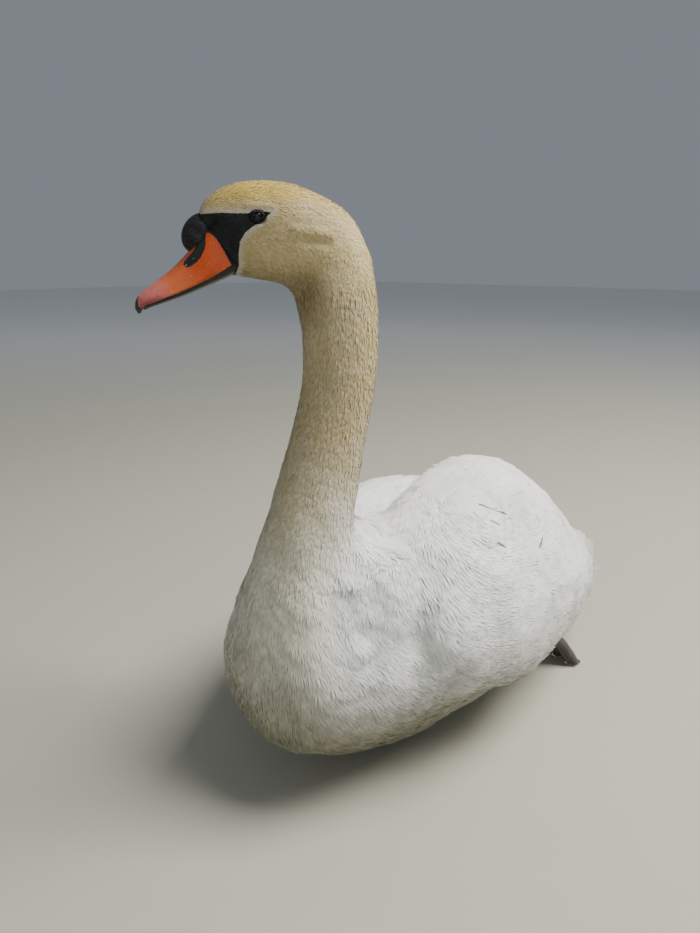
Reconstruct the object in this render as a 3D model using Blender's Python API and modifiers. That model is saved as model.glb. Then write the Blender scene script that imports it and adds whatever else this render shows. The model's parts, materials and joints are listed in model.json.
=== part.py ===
"""A resting mute swan, life size, in metres, +Z up.

The bird sits on its belly and faces -Y, so its left side is +X. The origin is on the floor, in the middle
of the flat of the belly. The flesh is first built with the neck and head straight ahead, and every point
then goes through pose(), which turns the head to the bird's right and lets the neck lean to its left.
"""
import bisect
import math

import bmesh
import bpy
from mathutils import Vector

# Driving sizes
GAP = 0.0004  # air between two parts that touch
BREAST_Y = -0.256  # foremost point of the breast
TAIL_TIP_Y = 0.452
BODY_TOP = 0.234  # height of the back between the wings
NECK_AXIS_Y = -0.160  # the axis that the head turns on
HEAD_TURN = math.radians(-40.0)  # to the bird's right
NECK_LEAN = 0.0235  # how far the head stands to the left of the keel
TURN_FROM_Z, TURN_TO_Z = 0.27, 0.43  # the turn is spread over this length of the neck
LEAN_FROM_Z, LEAN_TO_Z = 0.20, 0.42
BILL_PITCH = math.radians(32.0)  # below the horizontal
EYE_RADIUS = 0.0062
LEFT_WING_LIFT, RIGHT_WING_LIFT = 1.0, 0.57

FLESH_VOXEL = 0.0045
FLESH_TRIANGLES = 2850
FINE_HEAD = 0.0001  # how strongly the reduction spares the head
RING_POINTS = 24
WING_POINTS = 20
TAIL_POINTS = 16
BILL_POINTS = 20
PI2 = 2 * math.pi


def clear_scene():
    for old in list(bpy.data.objects):
        bpy.data.objects.remove(old)


def collection(name, hidden=False):
    made = bpy.data.collections.new(name)
    bpy.context.scene.collection.children.link(made)
    made.hide_render = hidden
    return made


def material(name, colour, roughness):
    made = bpy.data.materials.new(name)
    made.use_nodes = True
    shader = made.node_tree.nodes["Principled BSDF"]
    shader.inputs["Base Color"].default_value = (*colour, 1.0)
    shader.inputs["Roughness"].default_value = roughness
    return made


def smooth_step(value, low, high):
    share = min(max((value - low) / (high - low), 0.0), 1.0)
    return share * share * (3 - 2 * share)


def pose(point):
    """Turns the head and leans the neck; below the neck nothing moves."""
    x, y, z = point
    angle = HEAD_TURN * smooth_step(z, TURN_FROM_Z, TURN_TO_Z)
    neck = smooth_step(y, -0.10, -0.125)  # the back and the wings reach up beside the neck
    angle *= neck
    from_axis = y - NECK_AXIS_Y
    turned_x = x * math.cos(angle) - from_axis * math.sin(angle)
    turned_y = x * math.sin(angle) + from_axis * math.cos(angle)
    lean = NECK_LEAN * smooth_step(z, LEAN_FROM_Z, LEAN_TO_Z) * neck
    return Vector((turned_x + lean, turned_y + NECK_AXIS_Y, z))


def curve_through(stations):
    """A function that reads smooth values between rows of (position, value, value, ...)."""
    rows = sorted(stations)
    places = [row[0] for row in rows]

    def slope(i, k):
        low, high = max(i - 1, 0), min(i + 1, len(rows) - 1)
        return (rows[high][k] - rows[low][k]) / (places[high] - places[low])

    def read(position):
        position = min(max(position, places[0]), places[-1])
        i = min(max(bisect.bisect_right(places, position) - 1, 0), len(rows) - 2)
        span = places[i + 1] - places[i]
        t = (position - places[i]) / span
        found = []
        for k in range(1, len(rows[0])):
            a, b = rows[i][k], rows[i + 1][k]
            m, n = slope(i, k) * span, slope(i + 1, k) * span
            found.append(
                (2 * t**3 - 3 * t**2 + 1) * a + (t**3 - 2 * t**2 + t) * m
                + (3 * t**2 - 2 * t**3) * b + (t**3 - t**2) * n
            )
        return found

    return read


def rounded(angle, squareness):
    """A point of a superellipse of radius 1; squareness 2 is a circle."""
    c, s = math.cos(angle), math.sin(angle)
    power = 2 / squareness
    return math.copysign(abs(c) ** power, c), math.copysign(abs(s) ** power, s)


def end_steps(low, high, count):
    """Positions from low to high, close together at both ends, where a form rounds off."""
    return [low + (high - low) * (1 - math.cos(math.pi * i / count)) / 2 for i in range(count + 1)]


def loft(name, rings, group, finish=None):
    """A closed skin over rings of equal count, capped by a fan at each end."""
    mesh = bmesh.new()
    loops = [[mesh.verts.new(p) for p in ring] for ring in rings]
    for a, b in zip(loops, loops[1:]):
        for i in range(len(a)):
            j = (i + 1) % len(a)
            mesh.faces.new((a[i], a[j], b[j], b[i]))
    for loop in (loops[0], loops[-1]):
        centre = mesh.verts.new(sum((v.co for v in loop), Vector()) / len(loop))
        for i in range(len(loop)):
            mesh.faces.new((loop[i], loop[(i + 1) % len(loop)], centre))
    bmesh.ops.triangulate(mesh, faces=mesh.faces)  # a part and its cutter must fold along the same edges
    bmesh.ops.recalc_face_normals(mesh, faces=mesh.faces)
    return as_object(name, mesh, group, finish)


def as_object(name, mesh, group, finish=None):
    data = bpy.data.meshes.new(name)
    mesh.to_mesh(data)
    mesh.free()
    made = bpy.data.objects.new(name, data)
    group.objects.link(made)
    if finish:
        data.materials.append(finish)
    return made


def settled(source, name, group, finish=None):
    """A plain mesh object of what the modifiers of source make; source is removed."""
    bpy.context.view_layer.update()
    graph = bpy.context.evaluated_depsgraph_get()
    data = bpy.data.meshes.new_from_object(source.evaluated_get(graph))
    data.name = name
    made = bpy.data.objects.new(name, data)
    bpy.data.objects.remove(source)
    group.objects.link(made)
    data.materials.clear()
    if finish:
        data.materials.append(finish)
    return made


def grown(source, by, group):
    """A cutter: source with its surface moved out by the gap between parts."""
    mesh = bmesh.new()
    mesh.from_mesh(source.data)
    moves = [v.normal * by * min(v.calc_shell_factor(), 2.5) for v in mesh.verts]
    for vertex, move in zip(mesh.verts, moves):
        vertex.co += move
    made = as_object(source.name + "_cutter", mesh, group)
    made.hide_render = True
    made.display_type = "WIRE"
    return made


def carve(target, cutter):
    cut = target.modifiers.new("cut_" + cutter.name, "BOOLEAN")
    cut.operation = "DIFFERENCE"
    cut.solver = "EXACT"
    cut.object = cutter


def sliced(source, name, group, finish, planes):
    """The part of source on the inner side of each (point, outward normal) plane, with flat caps."""
    mesh = bmesh.new()
    mesh.from_mesh(source.data)
    for point, normal in planes:
        cut = bmesh.ops.bisect_plane(
            mesh, geom=mesh.verts[:] + mesh.edges[:] + mesh.faces[:], dist=1e-6,
            plane_co=point, plane_no=normal, clear_outer=True,
        )
        rim = [e for e in cut["geom_cut"] if isinstance(e, bmesh.types.BMEdge)]
        bmesh.ops.edgeloop_fill(mesh, edges=rim)
    bmesh.ops.triangulate(mesh, faces=mesh.faces)
    bmesh.ops.recalc_face_normals(mesh, faces=mesh.faces)
    return as_object(name, mesh, group, finish)


def keep_largest_shell(obj):
    """Drops the specks that the reduction of a fused mesh can leave inside it."""
    mesh = bmesh.new()
    mesh.from_mesh(obj.data)
    shells, seen = [], set()
    for start in mesh.verts:
        if start in seen:
            continue
        shell, waiting = set(), [start]
        while waiting:
            vertex = waiting.pop()
            if vertex not in shell:
                shell.add(vertex)
                waiting += [edge.other_vert(vertex) for edge in vertex.link_edges]
        seen |= shell
        shells.append(shell)
    largest = max(shells, key=len)
    bmesh.ops.delete(mesh, geom=[v for v in mesh.verts if v not in largest], context="VERTS")
    mesh.to_mesh(obj.data)
    mesh.free()


def shade(obj, angle=40):
    obj.data.shade_smooth()
    obj.data.set_sharp_from_angle(angle=math.radians(angle))


# The trunk: an egg lying along Y, flattened where it rests.
def trunk_blank(group):
    rump_y = 0.335
    # y, lowest z, highest z, half width
    size_at = curve_through([
        (BREAST_Y, 0.094, 0.148, 0.036),
        (-0.238, 0.060, 0.186, 0.068),
        (-0.205, 0.036, 0.213, 0.091),
        (-0.155, 0.013, 0.228, 0.107),
        (-0.090, -0.003, BODY_TOP, 0.120),
        (0.020, -0.008, BODY_TOP, 0.133),
        (0.100, -0.003, 0.224, 0.128),
        (0.180, 0.024, 0.194, 0.108),
        (0.260, 0.046, 0.150, 0.082),
        (rump_y, 0.076, 0.106, 0.034),
    ])
    rings = []
    for y in end_steps(BREAST_Y, rump_y, 34):
        low, high, width = size_at(y)
        nose = smooth_step(y, BREAST_Y - 0.004, BREAST_Y + 0.014)
        middle, half = (low + high) / 2, (high - low) / 2
        ring = []
        for i in range(RING_POINTS):
            across, up = rounded(PI2 * i / RING_POINTS, 2.05)
            belly = 1 + 0.08 * up * smooth_step(y, -0.20, 0.0) - 0.06 * min(up, 0.0) ** 2
            ring.append(pose((width * nose * across * belly, y, middle + half * nose * up)))
        rings.append(ring)
    return loft("trunk_blank", rings, group)


# Feathered shoulders: they close the hollow between the root of the neck and the front of each wing.
def shoulder_blanks(group):
    blanks = []
    for name, centre, radii in (
        ("mantle", (0.014, -0.112, 0.222), (0.046, 0.050, 0.040)),
        ("shoulder_left", (0.062, -0.138, 0.190), (0.044, 0.046, 0.058)),
        ("shoulder_right", (-0.062, -0.138, 0.170), (0.044, 0.046, 0.050)),
    ):
        mesh = bmesh.new()
        bmesh.ops.create_uvsphere(mesh, u_segments=24, v_segments=16, radius=1.0)
        bmesh.ops.scale(mesh, verts=mesh.verts, vec=radii)
        bmesh.ops.translate(mesh, verts=mesh.verts, vec=centre)
        blanks.append(as_object(name, mesh, group))
    return blanks


# The neck: rises out of the breast, leans back, and ends inside the head.
def neck_blank(group):
    # z, y of the middle, half depth along Y, half width along X
    size_at = curve_through([
        (0.115, -0.172, 0.070, 0.080),
        (0.160, -0.189, 0.0600, 0.068),
        (0.205, -0.1940, 0.0500, 0.0530),
        (0.243, -0.1870, 0.0452, 0.0450),
        (0.281, -0.1790, 0.0420, 0.0414),
        (0.317, -0.1715, 0.0388, 0.0384),
        (0.352, -0.1655, 0.0366, 0.0360),
        (0.403, -0.1585, 0.0348, 0.0342),
        (0.450, -0.1590, 0.0362, 0.0338),
        (0.490, -0.1660, 0.0375, 0.0315),
        (0.512, -0.1720, 0.0330, 0.0270),
    ])
    rings = []
    for z in end_steps(0.115, 0.512, 30):
        middle, depth, width = size_at(z)
        rings.append([
            pose((width * math.cos(PI2 * i / RING_POINTS), middle + depth * math.sin(PI2 * i / RING_POINTS), z))
            for i in range(RING_POINTS)
        ])
    return loft("neck_blank", rings, group)


# The head: forehead behind the knob, high crown, cheeks, and a round nape over the neck.
def head_blank(group):
    front_y, back_y = -0.2740, -0.1300
    # y, lowest z, highest z, half width
    size_at = curve_through([
        (front_y, 0.5010, 0.5370, 0.0120),
        (-0.2690, 0.4960, 0.5445, 0.0148),
        (-0.2625, 0.4925, 0.5502, 0.0168),
        (-0.2547, 0.4880, 0.5550, 0.0190),
        (-0.2430, 0.4848, 0.5592, 0.0222),
        (-0.2287, 0.4820, 0.5618, 0.0258),
        (-0.2128, 0.4793, 0.5622, 0.0290),
        (-0.1971, 0.4750, 0.5602, 0.0310),
        (-0.1780, 0.4660, 0.5532, 0.0322),
        (-0.1613, 0.4600, 0.5455, 0.0315),
        (-0.1450, 0.4600, 0.5315, 0.0270),
        (back_y, 0.4700, 0.5020, 0.0150),
    ])
    rings = []
    for y in end_steps(front_y, back_y, 34):
        low, high, width = size_at(y)
        middle, half = (low + high) / 2, (high - low) / 2
        ring = []
        for i in range(RING_POINTS):
            across, up = rounded(PI2 * i / RING_POINTS, 2.25)
            cheek = 1 - 0.16 * max(up, 0.0) ** 2 - 0.10 * max(-up, 0.0) ** 2
            ring.append(pose((width * across * cheek, y, middle + half * up)))
        rings.append(ring)
    return loft("head_blank", rings, group)


def flesh_whole(group):
    """Trunk, neck and head fused into one smooth body, cut level where it lies on the floor."""
    blanks = [trunk_blank(group), neck_blank(group), head_blank(group), *shoulder_blanks(group)]
    joined = bmesh.new()
    for blank in blanks:
        joined.from_mesh(blank.data)
        bpy.data.objects.remove(blank)
    whole = as_object("flesh_blank", joined, group)
    fuse = whole.modifiers.new("fuse", "REMESH")
    fuse.mode = "VOXEL"
    fuse.voxel_size = FLESH_VOXEL
    relax = whole.modifiers.new("relax", "SMOOTH")
    relax.factor = 0.5
    relax.iterations = 9
    whole = settled(whole, "flesh_dense", group)
    # Keep the head fine and let the trunk be coarse.
    coarse = whole.vertex_groups.new(name="coarse")
    for vertex in whole.data.vertices:
        coarse.add([vertex.index], 1.0 - 0.9 * smooth_step(vertex.co.z, 0.40, 0.50), "REPLACE")
    reduce = whole.modifiers.new("reduce", "DECIMATE")
    reduce.ratio = FLESH_TRIANGLES / (2 * len(whole.data.polygons))
    reduce.vertex_group = "coarse"
    reduce.vertex_group_factor = FINE_HEAD
    return settled(whole, "flesh_whole", group)


def wing(side, lift, group, finish):
    """A folded wing: a thick leaf along the flank, arched over the back, its tip above the tail."""
    # y, x of the middle, z of the middle, half height, half thickness, lean in degrees
    size_at = curve_through([
        (-0.150, 0.086, 0.172, 0.055, 0.030, 22),
        (-0.120, 0.084, 0.178, 0.085, 0.044, 27),
        (-0.075, 0.088, 0.190, 0.106, 0.048, 28),
        (-0.015, 0.098, 0.193, 0.125, 0.043, 24),
        (0.035, 0.096, 0.191, 0.125, 0.045, 25),
        (0.100, 0.092, 0.184, 0.111, 0.042, 27),
        (0.170, 0.079, 0.160, 0.088, 0.035, 34),
        (0.240, 0.060, 0.130, 0.062, 0.025, 46),
        (0.305, 0.042, 0.111, 0.044, 0.015, 57),
        (0.355, 0.029, 0.102, 0.026, 0.008, 65),
        (0.388, 0.020, 0.095, 0.011, 0.003, 68),
    ])
    start_y, tip_y = -0.150, 0.388
    rings = []
    for y in end_steps(start_y, tip_y, 17):
        x, z, height, thickness, lean = size_at(y)
        round_off = math.sqrt(max(1 - max((start_y + 0.03 - y) / 0.03, 0.0) ** 2, 0.04))
        height *= round_off
        lowered = height * (1 - lift)
        lean = math.radians(lean)
        ring = []
        for i in range(WING_POINTS):
            out, up = rounded(PI2 * i / WING_POINTS, 2.0)
            bow = -0.14 * height * up * up  # the leaf is hollow on its inner side
            local_x = thickness * round_off * out + bow
            local_z = (height - lowered / 2) * up - lowered / 2
            world_x = x + local_x * math.cos(lean) - local_z * math.sin(lean)
            world_z = z + local_x * math.sin(lean) + local_z * math.cos(lean)
            ring.append((side * max(world_x, 0.0012), y, world_z))
        rings.append(ring)
    name = "wing_left" if side > 0 else "wing_right"
    return loft(name, rings, group, finish)


def tail(group, finish):
    """Stiff fan of tail feathers, sloping to the floor behind the wing tips."""
    # y, half width, z of the middle, half thickness
    size_at = curve_through([
        (0.225, 0.034, 0.094, 0.020),
        (0.270, 0.052, 0.088, 0.017),
        (0.330, 0.056, 0.078, 0.013),
        (0.370, 0.043, 0.070, 0.009),
        (0.405, 0.028, 0.064, 0.006),
        (0.432, 0.016, 0.060, 0.004),
        (TAIL_TIP_Y, 0.006, 0.058, 0.0025),
    ])
    rings = []
    for y in end_steps(0.225, TAIL_TIP_Y, 10):
        width, middle, thickness = size_at(y)
        ring = []
        for i in range(TAIL_POINTS):
            across, up = rounded(PI2 * i / TAIL_POINTS, 2.0)
            ring.append((width * across, y, middle + thickness * up - 0.10 * width * across * across))
        rings.append(ring)
    return loft("tail", rings, group, finish)


# The bill has its own axis, from the middle of its base down to the tip.
BILL_BASE = Vector((0.0, -0.256, 0.505))
BILL_ALONG = Vector((0.0, -math.cos(BILL_PITCH), -math.sin(BILL_PITCH)))
BILL_UP = Vector((0.0, -math.sin(BILL_PITCH), math.cos(BILL_PITCH)))


def bill_point(across, along, up):
    return pose(BILL_BASE + Vector((across, 0, 0)) + BILL_ALONG * along + BILL_UP * up)


def bill_upper(group, finish):
    """Upper half: an arched roof over a flat palate, with the nail hooked over the tip."""
    # along, height of the ridge, height of the cutting edge, half width
    size_at = curve_through([
        (-0.0040, 0.0200, -0.0125, 0.0140),
        (0.0080, 0.0166, -0.0108, 0.0152),
        (0.0200, 0.0133, -0.0098, 0.0150),
        (0.0400, 0.0093, -0.0076, 0.0146),
        (0.0600, 0.0076, -0.0034, 0.0146),
        (0.0715, 0.0062, -0.0016, 0.0122),
        (0.0785, 0.0030, -0.0026, 0.0078),
        (0.0820, -0.0010, -0.0040, 0.0032),
    ])
    rings = []
    for along in end_steps(-0.0040, 0.0820, 13):
        ridge, edge, width = size_at(along)
        ring = []
        for i in range(BILL_POINTS):
            across, up = rounded(PI2 * i / BILL_POINTS, 2.3)
            floor = edge if up <= 0 else edge + (ridge - edge) * up
            dip = 0.0012 * (1 - across * across) if up < 0 else 0.0
            ring.append(bill_point(width * across, along, floor + dip + 0.0005 * min(up, 0.0)))
        rings.append(ring)
    return loft("bill_upper", rings, group, finish)


def bill_lower(group, finish):
    """Lower half: a shallow trough closed by the upper one."""
    # along, height of its floor, half width
    size_at = curve_through([
        (-0.0060, -0.0200, 0.0118),
        (0.0050, -0.0195, 0.0136),
        (0.0200, -0.0170, 0.0136),
        (0.0400, -0.0136, 0.0131),
        (0.0600, -0.0088, 0.0126),
        (0.0715, -0.0060, 0.0096),
        (0.0765, -0.0052, 0.0050),
    ])
    edge_at = curve_through([
        (-0.0060, -0.0132), (0.0080, -0.0117), (0.0200, -0.0107), (0.0400, -0.0085),
        (0.0600, -0.0043), (0.0715, -0.0025), (0.0765, -0.0034),
    ])
    rings = []
    for along in end_steps(-0.0060, 0.0765, 10):
        floor, width = size_at(along)
        edge = edge_at(along)[0] - GAP
        ring = []
        for i in range(16):
            across, up = rounded(PI2 * i / 16, 2.4)
            height = edge if up >= 0 else edge + (edge - floor) * up
            ring.append(bill_point(width * across, along, height + 0.0002 * max(up, 0.0)))
        rings.append(ring)
    return loft("bill_lower", rings, group, finish)


def ball(name, centre, radii, tilt, group, finish, segments=16):
    """An egg of three radii, tilted about X, in the straight bird; pose() then places it."""
    mesh = bmesh.new()
    bmesh.ops.create_uvsphere(mesh, u_segments=segments, v_segments=segments * 2 // 3, radius=1.0)
    bmesh.ops.triangulate(mesh, faces=mesh.faces)
    c, s = math.cos(tilt), math.sin(tilt)
    for vertex in mesh.verts:
        x, y, z = (vertex.co[k] * radii[k] for k in range(3))
        vertex.co = pose((centre[0] + x, centre[1] + y * c - z * s, centre[2] + y * s + z * c))
    return as_object(name, mesh, group, finish)


def foot_point(side, across, back, up):
    """A point of a foot: across outwards, back along +Y and up, from the toe joint, turned out a little."""
    turn = math.radians(14)
    x = 0.088 + across * math.cos(turn) + back * math.sin(turn)
    y = 0.152 - across * math.sin(turn) + back * math.cos(turn)
    return Vector((side * x, y, up))


def tube(path, radii, sides=10):
    """Rings of a round limb along a path of points."""
    rings = []
    for i, centre in enumerate(path):
        ahead = (path[min(i + 1, len(path) - 1)] - path[max(i - 1, 0)]).normalized()
        right = ahead.cross(Vector((0, 0, 1))).normalized()
        up = right.cross(ahead)
        rings.append([
            centre + (right * math.cos(PI2 * k / sides) + up * math.sin(PI2 * k / sides)) * radii[i]
            for k in range(sides)
        ])
    return rings


def toe_path(side, spread, length):
    """Points down one folded toe, from the knuckle over the bent joints to the claw."""
    rows = [(0.0, 0.000, 0.0400), (0.45, 0.016, 0.0330), (0.80, 0.029, 0.0160), (1.0, 0.037, 0.0040)]
    path = [foot_point(side, spread * out, back * length, up) for out, back, up in rows]
    return path + [foot_point(side, spread * 1.05, 0.046 * length, 0.0012)]


def leg(side, group, finish):
    """Shank under the flank, then three toes folded back and down with the web between them."""
    name = "leg_left" if side > 0 else "leg_right"
    toes = [toe_path(side, -0.019, 0.92), toe_path(side, 0.000, 1.0), toe_path(side, 0.020, 0.90)]
    shank = [foot_point(side, -0.012, -0.095, 0.030), foot_point(side, -0.008, -0.055, 0.027),
             foot_point(side, -0.002, -0.018, 0.033), toes[1][0]]
    pieces = [loft("shank", tube(shank, [0.0085, 0.0070, 0.0078, 0.0098]), group),
              knuckle_ball(toes[1][0], 0.0106, group)]
    for path in toes:
        pieces.append(loft("toe", tube(path, [0.0090, 0.0068, 0.0058, 0.0050, 0.0024]), group))
    for a, b in zip(toes, toes[1:]):
        pieces.append(web(a[:4], b[:4], group))
    joined = bmesh.new()
    for piece in pieces:
        joined.from_mesh(piece.data)
        bpy.data.objects.remove(piece)
    whole = as_object(name, joined, group)
    fuse = whole.modifiers.new("fuse", "REMESH")
    fuse.mode = "VOXEL"
    fuse.voxel_size = 0.0011
    relax = whole.modifiers.new("relax", "SMOOTH")
    relax.factor = 0.5
    relax.iterations = 3
    reduce = whole.modifiers.new("reduce", "DECIMATE")
    reduce.ratio = 0.012
    whole = settled(whole, name, group)
    keep_largest_shell(whole)
    # Level the sole where the toes touch the floor.
    level = sliced(whole, name + "_level", group, finish, [(Vector(), Vector((0, 0, -1)))])
    bpy.data.objects.remove(whole)
    level.name = name
    return level


def knuckle_ball(centre, radius, group):
    mesh = bmesh.new()
    bmesh.ops.create_uvsphere(mesh, u_segments=14, v_segments=9, radius=radius)
    bmesh.ops.translate(mesh, verts=mesh.verts, vec=centre)
    return as_object("knuckle", mesh, group)


def web(path_a, path_b, group):
    """The skin between two toes, hanging slack between them."""
    across_steps = 4
    half = 0.0015
    above, below = [], []
    for a, b in zip(path_a, path_b):
        for k in range(across_steps + 1):
            across = k / across_steps
            point = a.lerp(b, across)
            slack = math.sin(math.pi * across)
            point.y -= 0.007 * slack
            point.z = max(point.z - 0.004 * slack, half + 0.0008)
            above.append(point + Vector((0, half * 0.7, half)))
            below.append(point - Vector((0, half * 0.7, half)))
    mesh = bmesh.new()
    top = [mesh.verts.new(p) for p in above]
    low = [mesh.verts.new(p) for p in below]
    row, rows = across_steps + 1, len(path_a)
    for i in range(rows - 1):
        for k in range(across_steps):
            p = i * row + k
            mesh.faces.new((top[p], top[p + 1], top[p + row + 1], top[p + row]))
            mesh.faces.new((low[p], low[p + row], low[p + row + 1], low[p + 1]))
    rim = [(i, 0) for i in range(rows - 1)] + [(rows - 1, k) for k in range(across_steps)]
    rim += [(rows - 1 - i, across_steps) for i in range(rows - 1)]
    rim += [(0, across_steps - k) for k in range(across_steps)]
    for (i, k), (m, n) in zip(rim, rim[1:] + rim[:1]):
        mesh.faces.new((top[i * row + k], top[m * row + n], low[m * row + n], low[i * row + k]))
    bmesh.ops.recalc_face_normals(mesh, faces=mesh.faces)
    return as_object("web", mesh, group)


def main():
    clear_scene()
    bird = collection("mute_swan")
    cutters = collection("cutters", hidden=True)

    white = material("white_feathers", (0.86, 0.86, 0.84), 0.75)
    cream = material("cream_feathers", (0.80, 0.72, 0.55), 0.8)
    orange = material("orange_bill", (0.85, 0.26, 0.06), 0.42)
    black = material("black_skin", (0.012, 0.012, 0.014), 0.5)
    slate = material("slate_foot", (0.06, 0.055, 0.055), 0.6)
    eye_dark = material("eye", (0.02, 0.012, 0.008), 0.08)

    whole = flesh_whole(cutters)
    wings = [wing(1, LEFT_WING_LIFT, bird, white), wing(-1, RIGHT_WING_LIFT, bird, white)]
    legs = [leg(1, bird, slate), leg(-1, bird, slate)]
    upper = bill_upper(bird, orange)
    lower = bill_lower(bird, black)
    knob = ball("knob", (0, -0.2722, 0.5210), (0.0120, 0.0138, 0.0158), math.radians(-28), bird, black)
    eyes = [
        ball("eye_left", (0.0192, -0.2238, 0.5308), (EYE_RADIUS,) * 3, 0.0, bird, eye_dark, 12),
        ball("eye_right", (-0.0192, -0.2238, 0.5308), (EYE_RADIUS,) * 3, 0.0, bird, eye_dark, 12),
    ]
    tail_fan = tail(bird, white)

    # Where the flesh is parted: head from neck, neck in two lengths, neck from trunk.
    up = Vector((0, 0, 1))
    throat = pose((0, -0.175, 0.487))
    head_side = (pose((0, -0.175 - 0.50, 0.487 + 0.866)) - throat).normalized()
    half_way = Vector((0, NECK_AXIS_Y, 0.335))
    root = Vector((0, -0.190, 0.212))
    trunk_side = Vector((0, -0.40, 1)).normalized()
    half = GAP / 2
    head = sliced(whole, "head", bird, cream, [(throat + head_side * half, -head_side)])
    neck_upper = sliced(
        whole, "neck_upper", bird, cream,
        [(throat - head_side * half, head_side), (half_way + up * half, -up)],
    )
    neck_lower = sliced(
        whole, "neck_lower", bird, cream,
        [(half_way - up * half, up), (root + trunk_side * half, -trunk_side)],
    )
    trunk = sliced(whole, "trunk", bird, white, [(Vector(), -up), (root - trunk_side * half, trunk_side)])
    bpy.data.objects.remove(whole)

    carve(knob, grown(upper, GAP, cutters))
    for piece in (upper, lower, knob, *eyes):
        carve(head, grown(piece, GAP, cutters))
    for piece in (*wings, *legs, tail_fan):
        carve(trunk, grown(piece, GAP, cutters))
    for piece in wings:
        carve(tail_fan, bpy.data.objects[piece.name + "_cutter"])
        carve(neck_lower, bpy.data.objects[piece.name + "_cutter"])

    for piece in (head, neck_upper, neck_lower, trunk, tail_fan, *wings, *legs, upper, lower, knob, *eyes):
        shade(piece)


main()
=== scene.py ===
import bisect
import json
import math

import bmesh
import bpy
import numpy as np
from mathutils import Matrix, Vector, noise
from mathutils.bvhtree import BVHTree

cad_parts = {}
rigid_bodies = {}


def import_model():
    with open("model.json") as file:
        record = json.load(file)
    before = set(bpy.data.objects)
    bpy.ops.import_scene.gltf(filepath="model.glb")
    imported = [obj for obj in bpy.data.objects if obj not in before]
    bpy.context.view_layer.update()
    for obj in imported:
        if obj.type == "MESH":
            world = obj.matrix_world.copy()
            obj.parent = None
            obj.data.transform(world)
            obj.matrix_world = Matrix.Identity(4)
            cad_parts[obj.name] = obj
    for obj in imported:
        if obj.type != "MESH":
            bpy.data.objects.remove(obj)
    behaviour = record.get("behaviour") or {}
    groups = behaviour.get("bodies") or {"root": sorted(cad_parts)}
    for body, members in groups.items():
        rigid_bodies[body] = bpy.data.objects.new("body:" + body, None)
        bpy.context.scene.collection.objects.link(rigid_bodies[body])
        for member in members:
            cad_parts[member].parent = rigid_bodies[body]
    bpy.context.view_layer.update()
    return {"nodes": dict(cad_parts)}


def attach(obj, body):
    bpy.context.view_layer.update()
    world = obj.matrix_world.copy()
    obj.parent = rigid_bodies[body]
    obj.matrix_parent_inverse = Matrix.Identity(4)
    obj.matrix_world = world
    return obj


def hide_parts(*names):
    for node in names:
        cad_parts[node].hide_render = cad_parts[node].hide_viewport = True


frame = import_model()
nodes = frame["nodes"]
turn = 2 * math.pi

# The flesh was modelled with the neck straight ahead, then turned and leaned by this much.
pose = {
    "headTurn": math.radians(-40.0),
    "axisY": -0.160,
    "lean": 0.0235,
    "turnFrom": 0.27,
    "turnTo": 0.43,
    "leanFrom": 0.20,
    "leanTo": 0.42,
}


def bell(value, width):
    return np.exp(-((value / width) ** 2))


def ramp(value, low, high):
    share = np.clip((np.asarray(value, float) - low) / (high - low), 0, 1)
    return share * share * (3 - 2 * share)


def poseAmounts(y, z):
    neck = np.maximum(ramp(y, -0.10, -0.125), ramp(z, 0.30, 0.33))
    angle = pose["headTurn"] * ramp(z, pose["turnFrom"], pose["turnTo"]) * neck
    lean = pose["lean"] * ramp(z, pose["leanFrom"], pose["leanTo"]) * neck
    return angle, lean


def posed(points):
    points = np.array(points, float).reshape(-1, 3)
    x, y, z = points.T
    angle, lean = poseAmounts(y, z)
    ahead = y - pose["axisY"]
    c, s = np.cos(angle), np.sin(angle)
    return np.stack([x * c - ahead * s + lean, x * s + ahead * c + pose["axisY"], z], 1)


def straightened(points):
    points = np.array(points, float).reshape(-1, 3)
    x, y, z = points.T
    angle, lean = poseAmounts(y, z)
    x = x - lean
    ahead = y - pose["axisY"]
    c, s = np.cos(angle), np.sin(angle)
    return np.stack([x * c + ahead * s, ahead * c - x * s + pose["axisY"], z], 1)


def turnedVectors(vectors, points):
    angle, _ = poseAmounts(points[:, 1], points[:, 2])
    c, s = np.cos(angle), np.sin(angle)
    x, y, z = vectors.T
    return np.stack([x * c - y * s, x * s + y * c, z], 1)


def curveThrough(stations):
    rows = sorted(stations)
    places = [row[0] for row in rows]

    def slope(i, k):
        low, high = max(i - 1, 0), min(i + 1, len(rows) - 1)
        return (rows[high][k] - rows[low][k]) / (places[high] - places[low])

    def read(position):
        position = min(max(position, places[0]), places[-1])
        i = min(max(bisect.bisect_right(places, position) - 1, 0), len(rows) - 2)
        span = places[i + 1] - places[i]
        t = (position - places[i]) / span
        found = []
        for k in range(1, len(rows[0])):
            a, b = rows[i][k], rows[i + 1][k]
            m, n = slope(i, k) * span, slope(i + 1, k) * span
            found.append(
                (2 * t**3 - 3 * t**2 + 1) * a + (t**3 - 2 * t**2 + t) * m
                + (3 * t**2 - 2 * t**3) * b + (t**3 - t**2) * n
            )
        return found

    return read


def sideName(word, side):
    return word + ("Left" if side > 0 else "Right")


def linkObject(name, mesh):
    made = bpy.data.objects.new(name, mesh)
    bpy.context.scene.collection.objects.link(made)
    return made


def settled(source, name):
    bpy.context.view_layer.update()
    graph = bpy.context.evaluated_depsgraph_get()
    mesh = bpy.data.meshes.new_from_object(source.evaluated_get(graph))
    mesh.name = name
    bpy.data.objects.remove(source)
    return linkObject(name, mesh)


def meshFrom(name, points, faces):
    mesh = bpy.data.meshes.new(name)
    mesh.from_pydata([tuple(p) for p in points], [], faces)
    mesh.update()
    return mesh


def gridFaces(rows, columns):
    row = columns + 1
    corners = (r * row + c for r in range(rows) for c in range(columns))
    return [(a, a + 1, a + row + 1, a + row) for a in corners]


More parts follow.
